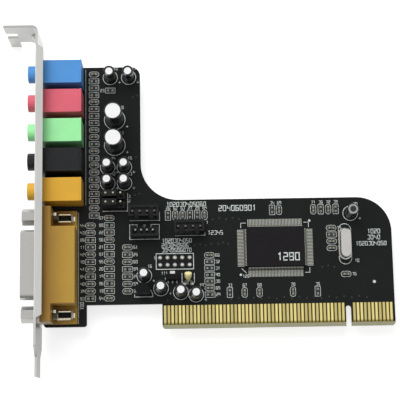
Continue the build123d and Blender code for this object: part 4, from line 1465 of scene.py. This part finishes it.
@dataclass
class Crystal:
    """Crystal can with a drawn shoulder on its welded rim."""

    rim: float = 0.36
    rim_thick: float = 0.45
    rim_slope: float = 0.02
    shoulder: float = 0.55
    lead_half: float = 0.25

    def build(self) -> None:
        """Build the can, its rim and its leads."""
        low, high = span("crystal")
        centre = ((low.x + high.x) / 2, (low.y + high.y) / 2)
        size = (high.x - low.x, high.y - low.y)
        can = Shape("crystal_can", Paint.CRYSTAL)
        levels = [(0.0, TOP), (0.0, TOP + self.rim_thick), (self.rim, TOP + self.rim_thick + self.rim_slope),
                  (self.rim, high.z - self.shoulder)]
        levels += [(self.rim + self.shoulder * (1 - cos(a)), high.z - self.shoulder * (1 - sin(a))) for a in ROUND]
        rings = []
        for draw, z in levels:
            outline = rounded(centre, (size[0] - 2 * draw, size[1] - 2 * draw), size[0] / 2 - draw, 10)
            rings.append(can.corners((x, y, z) for x, y in outline))
        can.skin(rings)
        for x, y in tails("crystal"):
            can.block((x - self.lead_half, y - self.lead_half, low.z), (x + self.lead_half, y + self.lead_half, TOP))
        can.place("crystal_metal", "crystal")


@dataclass(frozen=True)
class Housing:
    """Form of a header's moulding.

    Attributes:
        floor: Height of its floor.
        back: Height of its back.
        ledge: Depth of the lip behind the back.
        lip: Height of that lip.
        slots: Places of the slots in its front, from the middle.
        notch: Half width of the gap in the lip, if it has one.
        pins: Finish of its pins.
    """

    floor: float
    back: float
    ledge: float
    lip: float
    slots: tuple[float, ...] = ()
    notch: float = 0.0
    pins: Sheet = Paint.DARK_PIN


@dataclass
class Headers:
    """Board headers, jumpers and their caps."""

    forms: dict[str, Housing] = field(default_factory=lambda: {
        "disc_header": Housing(2.2, 2.9, 0.8, 0.6, (-2.54, 2.54)),
        "aux_header": Housing(2.2, 2.9, 0.8, 0.6, (-2.54, 2.54)),
        "fine_header": Housing(1.1, 1.5, 0.9, 0.4, notch=2.6, pins=Paint.TIN_PIN)})
    edge: float = 0.1
    pin_edge: float = 0.12
    cap_edge: float = 0.18
    wall: float = 0.8
    slot: float = 1.6
    pin_hole: float = 0.74

    def housing(self, name: str, form: Housing) -> None:
        """Mould one housing: a walled front, and a low back with a lip behind it.

        Args:
            name: Name of the header.
            form: Its form.
        """
        low, high = span(f"{name}_housing")
        pins = tails(f"{name}_pins")
        x, row = (low.x + high.x) / 2, pins[0][1]
        half = self.pin_hole / 2
        behind = row + half
        rear = high.y - form.ledge

        def filled(at_x: float, at_y: float, at_z: float) -> bool:
            """Find out whether the housing has plastic at a point.

            Args:
                at_x: The point's X.
                at_y: The point's Y.
                at_z: The point's Z.

            Returns:
                Whether it has.
            """
            level = at_z - low.z
            inside = low.x + self.wall < at_x < high.x - self.wall
            if any(abs(at_x - px) < half and abs(at_y - py) < half for px, py in pins):
                return False
            if at_y > rear:
                return level < form.lip and abs(at_x - x) > form.notch
            if level < form.floor:
                return True
            if at_y > rear - self.wall or (at_y > behind and not inside):
                return level < form.back
            if at_y > low.y + self.wall:
                return not inside
            return all(abs(at_x - x - place) > self.slot / 2 for place in form.slots)

        xs = {low.x, low.x + self.wall, high.x - self.wall, high.x}
        xs |= {x + place + side * self.slot / 2 for place in form.slots for side in (-1, 1)}
        xs |= {x + side * form.notch for side in (-1, 1) if form.notch}
        xs |= {px + side * half for px, _ in pins for side in (-1, 1)}
        ys = [low.y, low.y + self.wall, row - half, behind, rear - self.wall, rear, high.y]
        zs = [low.z] + [low.z + level for level in (form.lip, form.floor, form.back)] + [high.z]
        shape = Shape(f"{name}_moulding", Paint.HEADER)
        shape.stepped(sorted(xs), sorted(ys), zs, filled)
        soften(shape.place("header_plastic", f"{name}_housing"), self.edge)

    def build(self) -> None:
        """Mould the housings."""
        for name, form in self.forms.items():
            self.housing(name, form)

    def dress(self) -> None:
        """Finish the pins and the jumpers."""
        for name, form in self.forms.items():
            dress(f"{name}_pins", form.pins, self.pin_edge)
        for row in ("lower", "upper"):
            dress(f"jumper_base_{row}", Paint.HEADER, self.edge)
            dress(f"jumper_cap_{row}", Paint.HEADER, self.cap_edge)
        dress("jumper_pins", Paint.PIN, self.pin_edge)


@dataclass
class LeadedParts:
    """Regulator, power transistor and bead capacitor.

    Attributes:
        bead_levels: Distance along the bead, half its width and half its depth there.
        bead_lean: How far the bead leans from lying flat, in radians.
        bead_pinch: Share of the wires' distance where they enter the bead.
    """

    bead_levels: tuple[Triple, ...] = (
        (0.0, 0.25, 0.25), (0.5, 0.5, 0.55), (1.2, 0.85, 0.85), (2.0, 1.2, 1.0), (2.9, 1.27, 1.0),
        (3.4, 1.25, 0.92), (3.62, 1.15, 0.72), (3.72, 0.95, 0.45))
    bead_lean: float = 0.66
    bead_start: Point = (0.1, 1.5)
    bead_steps: int = 20
    bead_wire: float = 0.26
    bead_pinch: float = 0.35
    regulator_edge: float = 0.12
    transistor_edge: float = 0.08

    def build(self) -> None:
        """Build the dipped bead on its two wires."""
        low, high = span("bead_capacitor")
        feet = tails("bead_capacitor")
        centre_x = (low.x + high.x) / 2
        start = Vector((centre_x, feet[0][1] + self.bead_start[0], TOP + self.bead_start[1]))
        lean = Vector((0.0, cos(self.bead_lean), sin(self.bead_lean)))
        across = Vector((0.0, -lean.z, lean.y))
        bead = Shape("bead_drop", Paint.BEAD, Paint.TIN)
        angles = [tau * k / self.bead_steps for k in range(self.bead_steps)]
        rings = []
        for along, half, deep in self.bead_levels:
            spot = start + lean * along
            rings.append(bead.corners(spot + Vector((half * cos(a), 0, 0)) + across * deep * sin(a) for a in angles))
        bead.skin(rings)
        for x, y in feet:
            inward = centre_x + (x - centre_x) * self.bead_pinch
            bead.tube([Vector((x, y, low.z)), Vector((x, y, TOP + 0.9)), Vector((x, y + 0.1, TOP + 1.3)),
                       Vector((inward, y + 0.45, TOP + 1.8))], self.bead_wire, 1)
        bead.place("bead_resin", "bead_capacitor")

    def dress(self) -> None:
        """Finish the other leaded parts."""
        dress("regulator_body", Paint.SMALL_RESIN, self.regulator_edge)
        dress("regulator_leads", Paint.TIN)
        dress("power_transistor_body", Paint.SMALL_RESIN, self.transistor_edge)
        # Painted shade darkens the transistor's leads below its tab.
        dress("power_transistor_leads", Paint.TAB)


@dataclass
class Cell:
    """One place for a small chip: its middle, whether it stands across the board and what sits in it."""

    x: float
    y: float
    upright: bool
    kind: Optional[Kind]


@dataclass
class SmallChips:
    """Chip resistors and capacitors with their end caps, solder and the places left empty.

    Attributes:
        finishes: Slot of the record, and finish of ends, body and lid, for each kind.
        empty: X, lowest Y and pitch of a column, and the numbers of its empty places.
    """

    finishes: dict[Kind, tuple[str, tuple[Finish, ...]]] = field(default_factory=lambda: {
        Kind.RESISTOR: ("resistor_ceramic", (Paint.TIN, Paint.CERAMIC, Paint.RESISTOR)),
        Kind.CAPACITOR: ("capacitor_ceramic", (Paint.TIN, Paint.CAPACITOR, Paint.CAPACITOR))})
    end: float = 0.34
    end_hidden: float = 0.8
    end_edge: float = 0.08
    lid_thick: float = 0.06
    lid_sink: float = 0.015
    lid_inset: float = 0.05
    pad: Point = (1.0, 0.95)
    pad_gap: float = 0.82
    pad_corner: float = 0.2
    pad_inset: float = 0.25
    pad_rise: float = 0.16
    bare_rise: float = 0.07
    empty: tuple[tuple[float, float, float, tuple[int, ...]], ...] = (
        (-87.05, 39.6, 2.54, (2, 5, 8, 14, 17, 19)), (-88.35, 13.2, 2.54, (-1, 2, 7)),
        (-81.85, 10.7, 2.54, (2, 6, 10)), (-75.65, 13.0, 2.54, (3,)), (-47.4, 11.4, 2.28, (3,)))

    def cells(self) -> list[Cell]:
        """List every place.

        Returns:
            The filled places, then the empty ones.
        """
        found = []
        for kind in Kind:
            for low, high in islands(kind.value):
                upright = high.y - low.y > high.x - low.x
                found.append(Cell((low.x + high.x) / 2, (low.y + high.y) / 2, upright, kind))
        for x, low, pitch, places in self.empty:
            found += [Cell(x, low + pitch * i, False, None) for i in places]
        return found

    def chip(self, chips: Shape, low: Vector, high: Vector) -> None:
        """Build one chip: body, lid and two end caps.

        Args:
            chips: All chips of its kind.
            low: Its lowest corner.
            high: Its highest corner.
        """
        along = 1 if high.y - low.y > high.x - low.x else 0
        inner_low, inner_high = low.copy(), high.copy()
        inner_low[along] += self.end * self.end_hidden
        inner_high[along] -= self.end * self.end_hidden
        inner_high.z -= self.lid_thick
        chips.block(inner_low, inner_high, 1)
        lid_low, lid_high = inner_low.copy(), inner_high.copy()
        lid_low.z, lid_high.z = inner_high.z, high.z - self.lid_sink
        lid_low[1 - along] += self.lid_inset
        lid_high[1 - along] -= self.lid_inset
        chips.block(lid_low, lid_high, 2)
        near, far = high.copy(), low.copy()
        near[along] = low[along] + self.end
        far[along] = high[along] - self.end
        chips.soft_block(low, near, self.end_edge)
        chips.soft_block(far, high, self.end_edge)

    def build(self) -> None:
        """Build chips and pads."""
        for kind, (slot, finishes) in self.finishes.items():
            chips = Shape(f"{kind.value}_fitted", *finishes)
            for low, high in islands(kind.value):
                self.chip(chips, low, high)
            chips.place(slot, kind.value)
        pads = Shape("chip_solder_pads", Paint.PAD)
        for cell in self.cells():
            size = self.pad[::-1] if cell.upright else self.pad
            rise = self.pad_rise if cell.kind else self.bare_rise
            for shift in (-self.pad_gap, self.pad_gap):
                spot = (cell.x, cell.y + shift) if cell.upright else (cell.x + shift, cell.y)
                pads.prism(rounded(spot, size, self.pad_corner, 2), TOP, TOP + rise, 0, self.pad_inset)
        pads.place("tinned_metal")


@dataclass
class PrintedSide:
    """White print on the side that carries the parts: outlines, rings and plain numbers.

    Attributes:
        left_numbers: Ranges in X where a cell's number stands left of it.
        right_numbers: Height in Y below which other cells have theirs on the right.
        figure: Width and height of a figure.
        spare: First place of the unfitted header.
        labels: Plain numbers, with their lower left corner and size.
        chip_labels: Plain numbers on the chip, from its own corner.
        figures: Strokes of each figure, one wide and two high.
    """

    shape: Shape = field(default_factory=lambda: Shape("white_print", Paint.INK))
    level: float = TOP
    line: float = 0.2
    fine_line: float = 0.14
    plus_line: float = 0.16
    port_line: float = 0.16
    jack_line: float = 0.13
    bead_line: float = 0.22
    spare_line: float = 0.24
    plus_arm: float = 0.4
    cell: Point = (3.4, 1.85)
    cell_corner: float = 0.85
    square_corner: float = 0.12
    left_numbers: tuple[Point, ...] = ((-110.0, -87.5), (-84.0, -78.0), (0.0, 20.0))
    right_numbers: float = 38.0
    small_ring: float = 2.55
    large_ring: float = 3.65
    figure: Point = (0.5, 0.95)
    figure_pitch: float = 1.55
    figure_line: float = 0.135
    spare: Point = (-64.4, 24.4)
    spare_pitch: float = 2.54
    spare_count: tuple[int, int] = (5, 2)
    spare_pad: float = 0.78
    spare_rise: float = 0.6
    lone_joint: Point = (9.2, 15.0)
    dome_steps: int = 5
    dome_foot: float = 0.04
    labels: tuple[tuple[int, Point, float], ...] = (
        (102030405060, (-61.9, 42.4), 1.5), (204060801, (-43.8, 40.6), 1.9), (12345, (-47.7, 32.3), 1.4),
        (1020304050, (-63.6, 29.7), 1.35), (203040506, (-63.7, 28.05), 1.35), (3040506070, (-63.7, 26.4), 1.35),
        (111, (-64.0, 18.55), 1.0), (10, (2.9, 22.0), 1.0),
        (1020, (7.6, 31.9), 1.5), (3040, (7.5, 29.8), 1.5), (1020304050, (3.4, 27.7), 1.4))
    chip_labels: tuple[tuple[int, Point, float], ...] = ((1280, (10.6, 2.2), 2.6),)
    leg_label: tuple[int, Point] = (100, (-90.7, 7.0))
    figures: dict[str, tuple[Point, ...]] = field(default_factory=lambda: {
        "0": ((0, 0), (1, 0), (1, 2), (0, 2), (0, 0)), "1": ((0.2, 1.6), (0.6, 2), (0.6, 0)),
        "2": ((0, 2), (1, 2), (1, 1), (0, 1), (0, 0), (1, 0)),
        "3": ((0, 2), (1, 2), (1, 1), (0.3, 1), (1, 1), (1, 0), (0, 0)),
        "4": ((0, 2), (0, 1), (1, 1), (1, 2), (1, 0)), "5": ((1, 2), (0, 2), (0, 1), (1, 1), (1, 0), (0, 0)),
        "6": ((1, 2), (0, 2), (0, 0), (1, 0), (1, 1), (0, 1)), "7": ((0, 2), (1, 2), (0.4, 0)),
        "8": ((0, 0), (1, 0), (1, 2), (0, 2), (0, 0), (0, 1), (1, 1)),
        "9": ((1, 0), (1, 2), (0, 2), (0, 1), (1, 1))})

    def run(self, *points: Point, closed: bool = False, width: Optional[float] = None) -> None:
        """Print a line through points."""
        self.shape.ribbon(points, width or self.line, self.level + PRINT_LIFT, self.level + PRINT_HIGH, 0, closed)

    def number(self, value: int, at: Point, turned: bool = False, size: float = 1.0) -> None:
        """Print a plain number.

        Args:
            value: The number.
            at: Its lower left corner.
            turned: Whether it reads upwards.
            size: Times the usual height.
        """
        wide, tall = self.figure[0] * size, self.figure[1] * size
        for i, digit in enumerate(str(value)):
            shift = i * wide * self.figure_pitch
            points = [(shift + x * wide, y * tall / 2) for x, y in self.figures[digit]]
            if turned:
                points = [(-y, x) for x, y in points]
            self.run(*[(at[0] + x, at[1] + y) for x, y in points], width=self.figure_line * size)

    def cells(self, chips: SmallChips) -> None:
        """Print the outline and number of each small chip's place.

        Args:
            chips: The small chips.
        """
        for i, cell in enumerate(chips.cells()):
            size = self.cell[::-1] if cell.upright else self.cell
            corner = self.cell_corner if cell.kind is Kind.CAPACITOR else self.square_corner
            self.run(*rounded((cell.x, cell.y), size, corner, 4), closed=True, width=self.fine_line)
            value = i % 90 + 10
            if cell.upright:
                self.number(value, (cell.x - 0.55, cell.y + size[1] / 2 + 0.35))
            elif any(low < cell.x < high for low, high in self.left_numbers):
                self.number(value, (cell.x - size[0] / 2 - 1.75, cell.y - 0.45))
            elif cell.y < self.right_numbers:
                self.number(value, (cell.x + size[0] / 2 + 0.45, cell.y - 0.45))

    def rings(self, cans: CanCapacitors) -> None:
        """Print a ring round each can, with a plus and a number by it.

        Args:
            cans: The can capacitors.
        """
        low, high, arm = TOP + PRINT_LIFT, TOP + PRINT_HIGH, self.plus_arm
        for nodes, radius in ((cans.small + cans.dark, self.small_ring), (cans.large, self.large_ring)):
            for i, node in enumerate(nodes):
                spot = middle(node)
                self.shape.ring((spot.x, spot.y), radius, self.line, low, high, 0, 40)
                x, y = spot.x + radius + 0.75, spot.y - radius * 0.7
                self.run((x - arm, y), (x + arm, y), width=self.plus_line)
                self.run((x, y - arm), (x, y + arm), width=self.plus_line)
                self.number(10 + i, (spot.x + radius * 0.5, spot.y + radius + 0.25))

    def front(self, low: Vector, high: Vector, end: float, width: float) -> None:
        """Print a line of some width in front of a header and up its right side to an end in Y."""
        left, right, below = low.x + 0.3, high.x + 0.2, low.y - 0.25
        self.run((left, low.y - 0.02), (left, below), (right, below), (right, end), width=width)

    def headers(self) -> None:
        """Print the outlines of headers, jumpers and connectors."""
        low, high = span("disc_header_housing")
        self.front(low, high, high.y - 2.6, self.line)
        low, high = span("fine_header_housing")
        left, right, bottom, top = low.x - 0.3, high.x + 0.35, low.y - 0.4, high.y + 0.22
        x = (low.x + high.x) / 2
        for side, end in ((-1, left), (1, right)):
            self.run((x - 0.1 + side * 2.4, top - 1.0), (x - 0.1 + side * 2.4, top), (end, top), (end, bottom),
                     (x + side * 0.15, bottom))
        self.number(12, (x - 0.6, top - 0.72), size=0.75)
        low, high = span("aux_header_housing")
        self.front(low, high, low.y + 0.9, self.fine_line)
        self.number(1, (high.x + 0.8, high.y - 1.6))
        low, high = span("jumper_base_lower")
        upper = span("jumper_base_upper")[1]
        self.run((low.x - 0.2, low.y - 0.7), (high.x + 0.85, low.y - 0.7), (high.x + 0.85, upper.y + 0.2))
        for i in range(3):
            self.number(i + 1, (high.x + 1.2, low.y + 0.6 + i * 1.7))
        low, high = span("game_port_cover")
        self.run((high.x + 0.3, high.y - 0.4), (high.x + 0.3, low.y + 0.1), width=self.port_line)
        low, high = span("center_speaker_jack")
        top = span("line_in_jack")[1]
        self.run((high.x + 0.7, top.y - 0.6), (high.x + 0.7, low.y + 0.4), width=self.jack_line)

    def chip(self) -> None:
        """Print the corner marks of the chip, with a dot at its first lead and one across from it."""
        low, high = span("audio_chip_body")
        out, arm, dot = 1.75, 1.7, 0.42
        left, right, bottom, top = low.x - out, high.x + out, low.y - out, high.y + out
        self.run((left, top - arm), (left, top), (left + arm, top))
        self.run((right - arm, top), (right, top), (right, top - arm))
        self.run((right - arm, bottom), (right, bottom), (right, bottom + arm))
        self.run((left, bottom + arm), (left + arm, bottom))
        under, over = TOP + PRINT_LIFT, TOP + PRINT_HIGH
        for spot in ((right + 0.35, top + 0.55), (left - 0.3, bottom - 0.5)):
            self.shape.lathe([(0.0, under, 0), (dot, under, 0), (dot, over, 0), (0.0, over, 0)], spot, 20)
        self.number(128, (left + 0.4, bottom - 1.5))

    def crystal(self) -> None:
        """Print an arc at each end of the crystal."""
        low, high = span("crystal")
        x, y = (low.x + high.x) / 2, (low.y + high.y) / 2
        half, start = (high.x - low.x) / 2 - 0.1, (high.y - low.y) / 2 - 0.6
        for side in (-1, 1):
            arc = [(x + half * cos(i * pi / 16), y + side * (start + half * sin(i * pi / 16))) for i in range(17)]
            foot = y + side * (start - 0.7)
            self.run((x + half, foot), *arc, (x - half, foot))

    def leaded(self) -> None:
        """Print the outlines round the regulator and the bead."""
        low, high = span("regulator_body")
        left, below = low.x - 0.7, low.y - 0.6
        self.run((left, below), (high.x + 0.8, below))
        x = middle("regulator_body").x
        self.run(*[(x + 3.2 * cos(a * pi / 12), below + 3.6 * sin(a * pi / 12)) for a in range(7)])
        self.run((left, below), (left, low.y + 0.4))
        low, high = span("bead_capacitor")
        for x in (low.x - 0.55, high.x + 0.55):
            self.run((x, low.y + 0.3), (x, high.y - 0.1), width=self.bead_line)

    def dome(self, shape: Shape, spot: Point, radius: float, rise: float) -> None:
        """Add a domed joint on the side that carries the parts.

        Args:
            shape: All joints.
            spot: Its middle.
            radius: Its radius.
            rise: Its height over its foot.
        """
        foot = TOP + self.dome_foot
        angles = [pi / 2 * i / self.dome_steps for i in range(self.dome_steps)]
        curve = [(radius * cos(a), foot + rise * sin(a), 0) for a in angles]
        shape.lathe([(0.0, TOP, 0), (radius, TOP, 0)] + curve + [(0.0, foot + rise, 0)], spot, 20)

    def joints(self) -> None:
        """Outline the unfitted header and add the joints on this side."""
        xs = [self.spare[0] + i * self.spare_pitch for i in range(self.spare_count[0])]
        ys = [self.spare[1] - i * self.spare_pitch for i in range(self.spare_count[1])]
        size = (xs[-1] - xs[0] + 2.7, ys[0] - ys[-1] + 2.9)
        centre = ((xs[0] + xs[-1]) / 2, (ys[0] + ys[-1]) / 2)
        self.run(*rounded(centre, size, 0.1, 2), closed=True, width=self.spare_line)
        self.number(1, (xs[0] - 2.1, ys[0] - 0.5))
        joints = Shape("top_side_joints", Paint.JOINT)
        for spot in product(xs, ys):
            self.dome(joints, spot, self.spare_pad, self.spare_rise)
        for x, y in tails("bead_capacitor"):
            self.dome(joints, (x, y - 0.45), 0.68, 0.4)
        self.dome(joints, self.lone_joint, 0.55, 0.12)
        joints.place("tinned_metal")

    def rows(self) -> None:
        """Print rows of plain numbers where a board carries its markings."""
        for value, at, size in self.labels:
            self.number(value, at, size=size)
        self.number(*self.leg_label, turned=True, size=1.2)
        low, high = span("audio_chip_body")
        self.level = high.z
        for value, (x, y), size in self.chip_labels:
            self.number(value, (low.x + x, low.y + y), size=size)
        self.level = TOP

    def build(self, chips: SmallChips, cans: CanCapacitors) -> None:
        """Print everything.

        Args:
            chips: The small chips.
            cans: The can capacitors.
        """
        self.cells(chips)
        self.rings(cans)
        for part in (self.headers, self.chip, self.crystal, self.leaded, self.joints, self.rows):
            part()
        self.shape.place("board_laminate")


@dataclass
class SolderSide:
    """Solder joints under the board, with the leads of the cans."""

    leaded: tuple[str, ...] = ("game_port_pins", "game_port_clip_lower", "game_port_clip_upper", "crystal",
                               "disc_header_pins", "aux_header_pins", "fine_header_pins", "jumper_pins",
                               "regulator_leads", "bead_capacitor")
    joint: float = 0.95
    rise: float = 0.85
    tip: float = 0.06
    lead: float = 0.28
    lead_sunk: float = 0.1
    small_pitch: float = 1.5
    large_pitch: float = 2.5
    small_size: float = 0.8
    tail: float = 1.15

    def cone(self, shape: Shape, spot: Point, size: float = 1.0) -> None:
        """Add one joint: a hollow-sided cone of solder round a lead.

        Args:
            shape: All joints.
            spot: Middle of the lead.
            size: Times the usual size.
        """
        base = self.joint * size
        shape.lathe([(0.0, BOTTOM, 0), (base, BOTTOM, 0), (base, BOTTOM - 0.05, 0), (base * 0.66, BOTTOM - 0.2, 0),
                     (base * 0.45, BOTTOM - 0.5 * size, 0), (base * 0.36, BOTTOM - self.rise * size, 0),
                     (0.0, BOTTOM - (self.rise + self.tip) * size, 0)], spot, 18)

    def build(self, cans: CanCapacitors, jacks: Jacks) -> None:
        """Add a joint to every lead that comes through.

        Args:
            cans: The can capacitors.
            jacks: The jacks.
        """
        joints = Shape("solder_joints", Paint.PAD, Paint.TIN)
        for node in self.leaded + tuple(f"{name}_jack_contacts" for name, _ in jacks.finishes):
            for spot in tails(node):
                self.cone(joints, spot)
        end, start = BOTTOM - self.tail, BOTTOM - self.lead_sunk
        wire = [(0.0, end, 1), (self.lead, end, 1), (self.lead, start, 1), (0.0, start, 1)]
        for group, pitch in ((cans.small + cans.dark, self.small_pitch), (cans.large, self.large_pitch)):
            for node, side in product(group, (-1, 1)):
                spot = middle(node)
                place = (spot.x + side * pitch / 2, spot.y)
                self.cone(joints, place, self.small_size)
                joints.lathe(wire, place, 12)
        joints.place("tinned_metal")


@dataclass
class Studio:
    """Floor, light and camera.

    Attributes:
        camera_place: Place of the camera in millimetres.
        camera_turn: Turn of the view about X, Y and Z in radians.
        floor_glow: Light that the floor adds for the camera and for reflections.
        aim: What the lamps point at, in metres.
        dark_side: Level of the sky in front of the card.
        sky_back: Range in Y over which the sky behind the card brightens.
        sky_top: Range in Z over which the sky above it brightens.
    """

    camera_place: Triple = (-56.09, -38.90, 431.43)
    camera_turn: Triple = (-0.191323, 0.013249, 0.015316)
    focal_pixels: float = 1261.18
    clip_end: float = 10.0
    floor_size: float = 4.0
    floor_grey: float = 0.55
    floor_grain: float = 0.02
    floor_glow: float = 0.72
    aim: Triple = (-0.05, 0.045, 0.0)
    key_place: Triple = (-0.35, 0.7, 0.82)
    key_power: float = 8.5
    fill_place: Triple = (-0.7, 0.1, 0.7)
    fill_power: float = 0.8
    lamp_size: float = 0.8
    sky: float = 0.5
    sky_back: Point = (-0.75, 0.15)
    sky_top: Point = (0.2, 0.85)
    dark_side: float = 0.12

    def floor(self) -> None:
        """Lay a plain pale floor under the card's lowest point."""
        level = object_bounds()[0].z
        half = self.floor_size / 2
        data = bpy.data.meshes.new("floor")
        corners = [(-half, -half, level), (half, -half, level), (half, half, level), (-half, half, level)]
        data.from_pydata(corners, [], [(0, 1, 2, 3)])
        data.materials.append(self.paper())
        floor = bpy.data.objects.new("floor", data)
        bpy.context.scene.collection.objects.link(floor)
        floor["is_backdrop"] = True

    def paper(self) -> bpy.types.Material:
        """Make the floor's paper, which glows for the camera and in reflections alone.

        Returns:
            The material.
        """
        tree = Tree("floor_paper")
        tone = tree.noise(30.0, 3.0)
        low, high = self.floor_grey, self.floor_grey + self.floor_grain
        tree.set(Base_Color=tree.blend(tone, (low, low, low, 1.0), (high, high, high, 1.0)), Roughness=0.9,
                 Specular_IOR_Level=0.1)
        path = tree.make("ShaderNodeLightPath")
        seen = Sock(tree, path.outputs["Is Camera Ray"]) + Sock(tree, path.outputs["Is Glossy Ray"])
        glow = tree.add("ShaderNodeEmission", inputs={"Strength": self.floor_glow})
        paper = Sock(tree, tree.shader.outputs[0])
        both = tree.add("ShaderNodeAddShader", inputs={0: paper, 1: glow})
        mixed = tree.add("ShaderNodeMixShader", inputs={0: seen, 1: paper, 2: both})
        out = next(n for n in tree.nodes if n.type == "OUTPUT_MATERIAL")
        tree.feed(out.inputs["Surface"], mixed)
        return tree.material

    def lamp(self, name: str, place: Sequence[float], power: float) -> None:
        """Hang a soft square lamp.

        Args:
            name: Its name.
            place: Where it hangs, in metres.
            power: Its power in watts.
        """
        light = bpy.data.lights.new(name, "AREA")
        light.energy = power
        light.size = self.lamp_size
        lamp = bpy.data.objects.new(name, light)
        lamp.visible_glossy = False
        lamp.location = place
        lamp.rotation_euler = (Vector(self.aim) - Vector(place)).to_track_quat("-Z", "Y").to_euler()
        bpy.context.scene.collection.objects.link(lamp)

    def world(self) -> None:
        """Light the scene from all round, with a white background for the camera."""
        sky = Sky("studio")
        way = sky.add("ShaderNodeTexCoord", output="Generated")
        away = sky.axis("Y", way).ramp(*self.sky_back)
        above = sky.axis("Z", way).ramp(*self.sky_top)
        dark = (self.dark_side, self.dark_side, self.dark_side, 1.0)
        tone = sky.blend(away + above - away * above, dark, WHITE)
        soft = sky.add("ShaderNodeBackground", inputs={"Color": tone, "Strength": self.sky})
        shine = sky.add("ShaderNodeBackground", inputs={"Color": tone, "Strength": 1.0})
        plain = sky.add("ShaderNodeBackground", inputs={"Color": WHITE, "Strength": 1.0})
        path = sky.make("ShaderNodeLightPath")
        glossy, direct = Sock(sky, path.outputs["Is Glossy Ray"]), Sock(sky, path.outputs["Is Camera Ray"])
        lit = sky.add("ShaderNodeMixShader", inputs={0: glossy, 1: soft, 2: shine})
        seen = sky.add("ShaderNodeMixShader", inputs={0: direct, 1: lit, 2: plain})
        sky.make("ShaderNodeOutputWorld", inputs={"Surface": seen})
        bpy.context.scene.world = sky.world

    def camera(self) -> None:
        """Set the camera where the photograph was taken from."""
        data = bpy.data.cameras.new("camera")
        data.sensor_width = SENSOR
        data.lens = self.focal_pixels / PHOTO_PIXELS * SENSOR
        data.clip_end = self.clip_end
        camera = bpy.data.objects.new("camera", data)
        x, y, z = self.camera_turn
        turn = Matrix.Rotation(z, 3, "Z") @ Matrix.Rotation(y, 3, "Y") @ Matrix.Rotation(x, 3, "X")
        camera.matrix_world = Matrix.Translation(Vector(self.camera_place) * MM) @ turn.transposed().to_4x4()
        bpy.context.scene.collection.objects.link(camera)
        bpy.context.scene.camera = camera

    def build(self) -> None:
        """Set the whole stage."""
        bpy.context.scene.view_settings.view_transform = "Standard"
        self.floor()
        self.world()
        self.lamp("key", self.key_place, self.key_power)
        self.lamp("fill", self.fill_place, self.fill_power)
        self.camera()


def main() -> None:
    """Build the whole look, and log each CAD node's finishes and each piece's face count."""
    logging.basicConfig(level=logging.INFO)
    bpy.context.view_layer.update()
    board, bracket, jacks, port = Board(), Bracket(), Jacks(), GamePort()
    chip, cans, crystal, headers = AudioChip(), CanCapacitors(), Crystal(), Headers()
    leaded, chips, print_side, solder = LeadedParts(), SmallChips(), PrintedSide(), SolderSide()
    for part in (board, bracket, jacks, port, chip, headers, leaded):
        part.dress()
    for part in (board, bracket, port, chip, crystal, headers, leaded, chips):
        part.build()
    print_side.build(chips, cans)
    cans.build()
    solder.build(cans, jacks)
    Studio().build()
    for name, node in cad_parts.items():
        log.info("CAD node %s: %s", name, ", ".join(look.name for look in node.data.materials if look))
    for piece in Shape.placed:
        log.info("piece %s: %d faces", piece.name, len(piece.data.polygons))


if __name__ == "__main__":
    main()
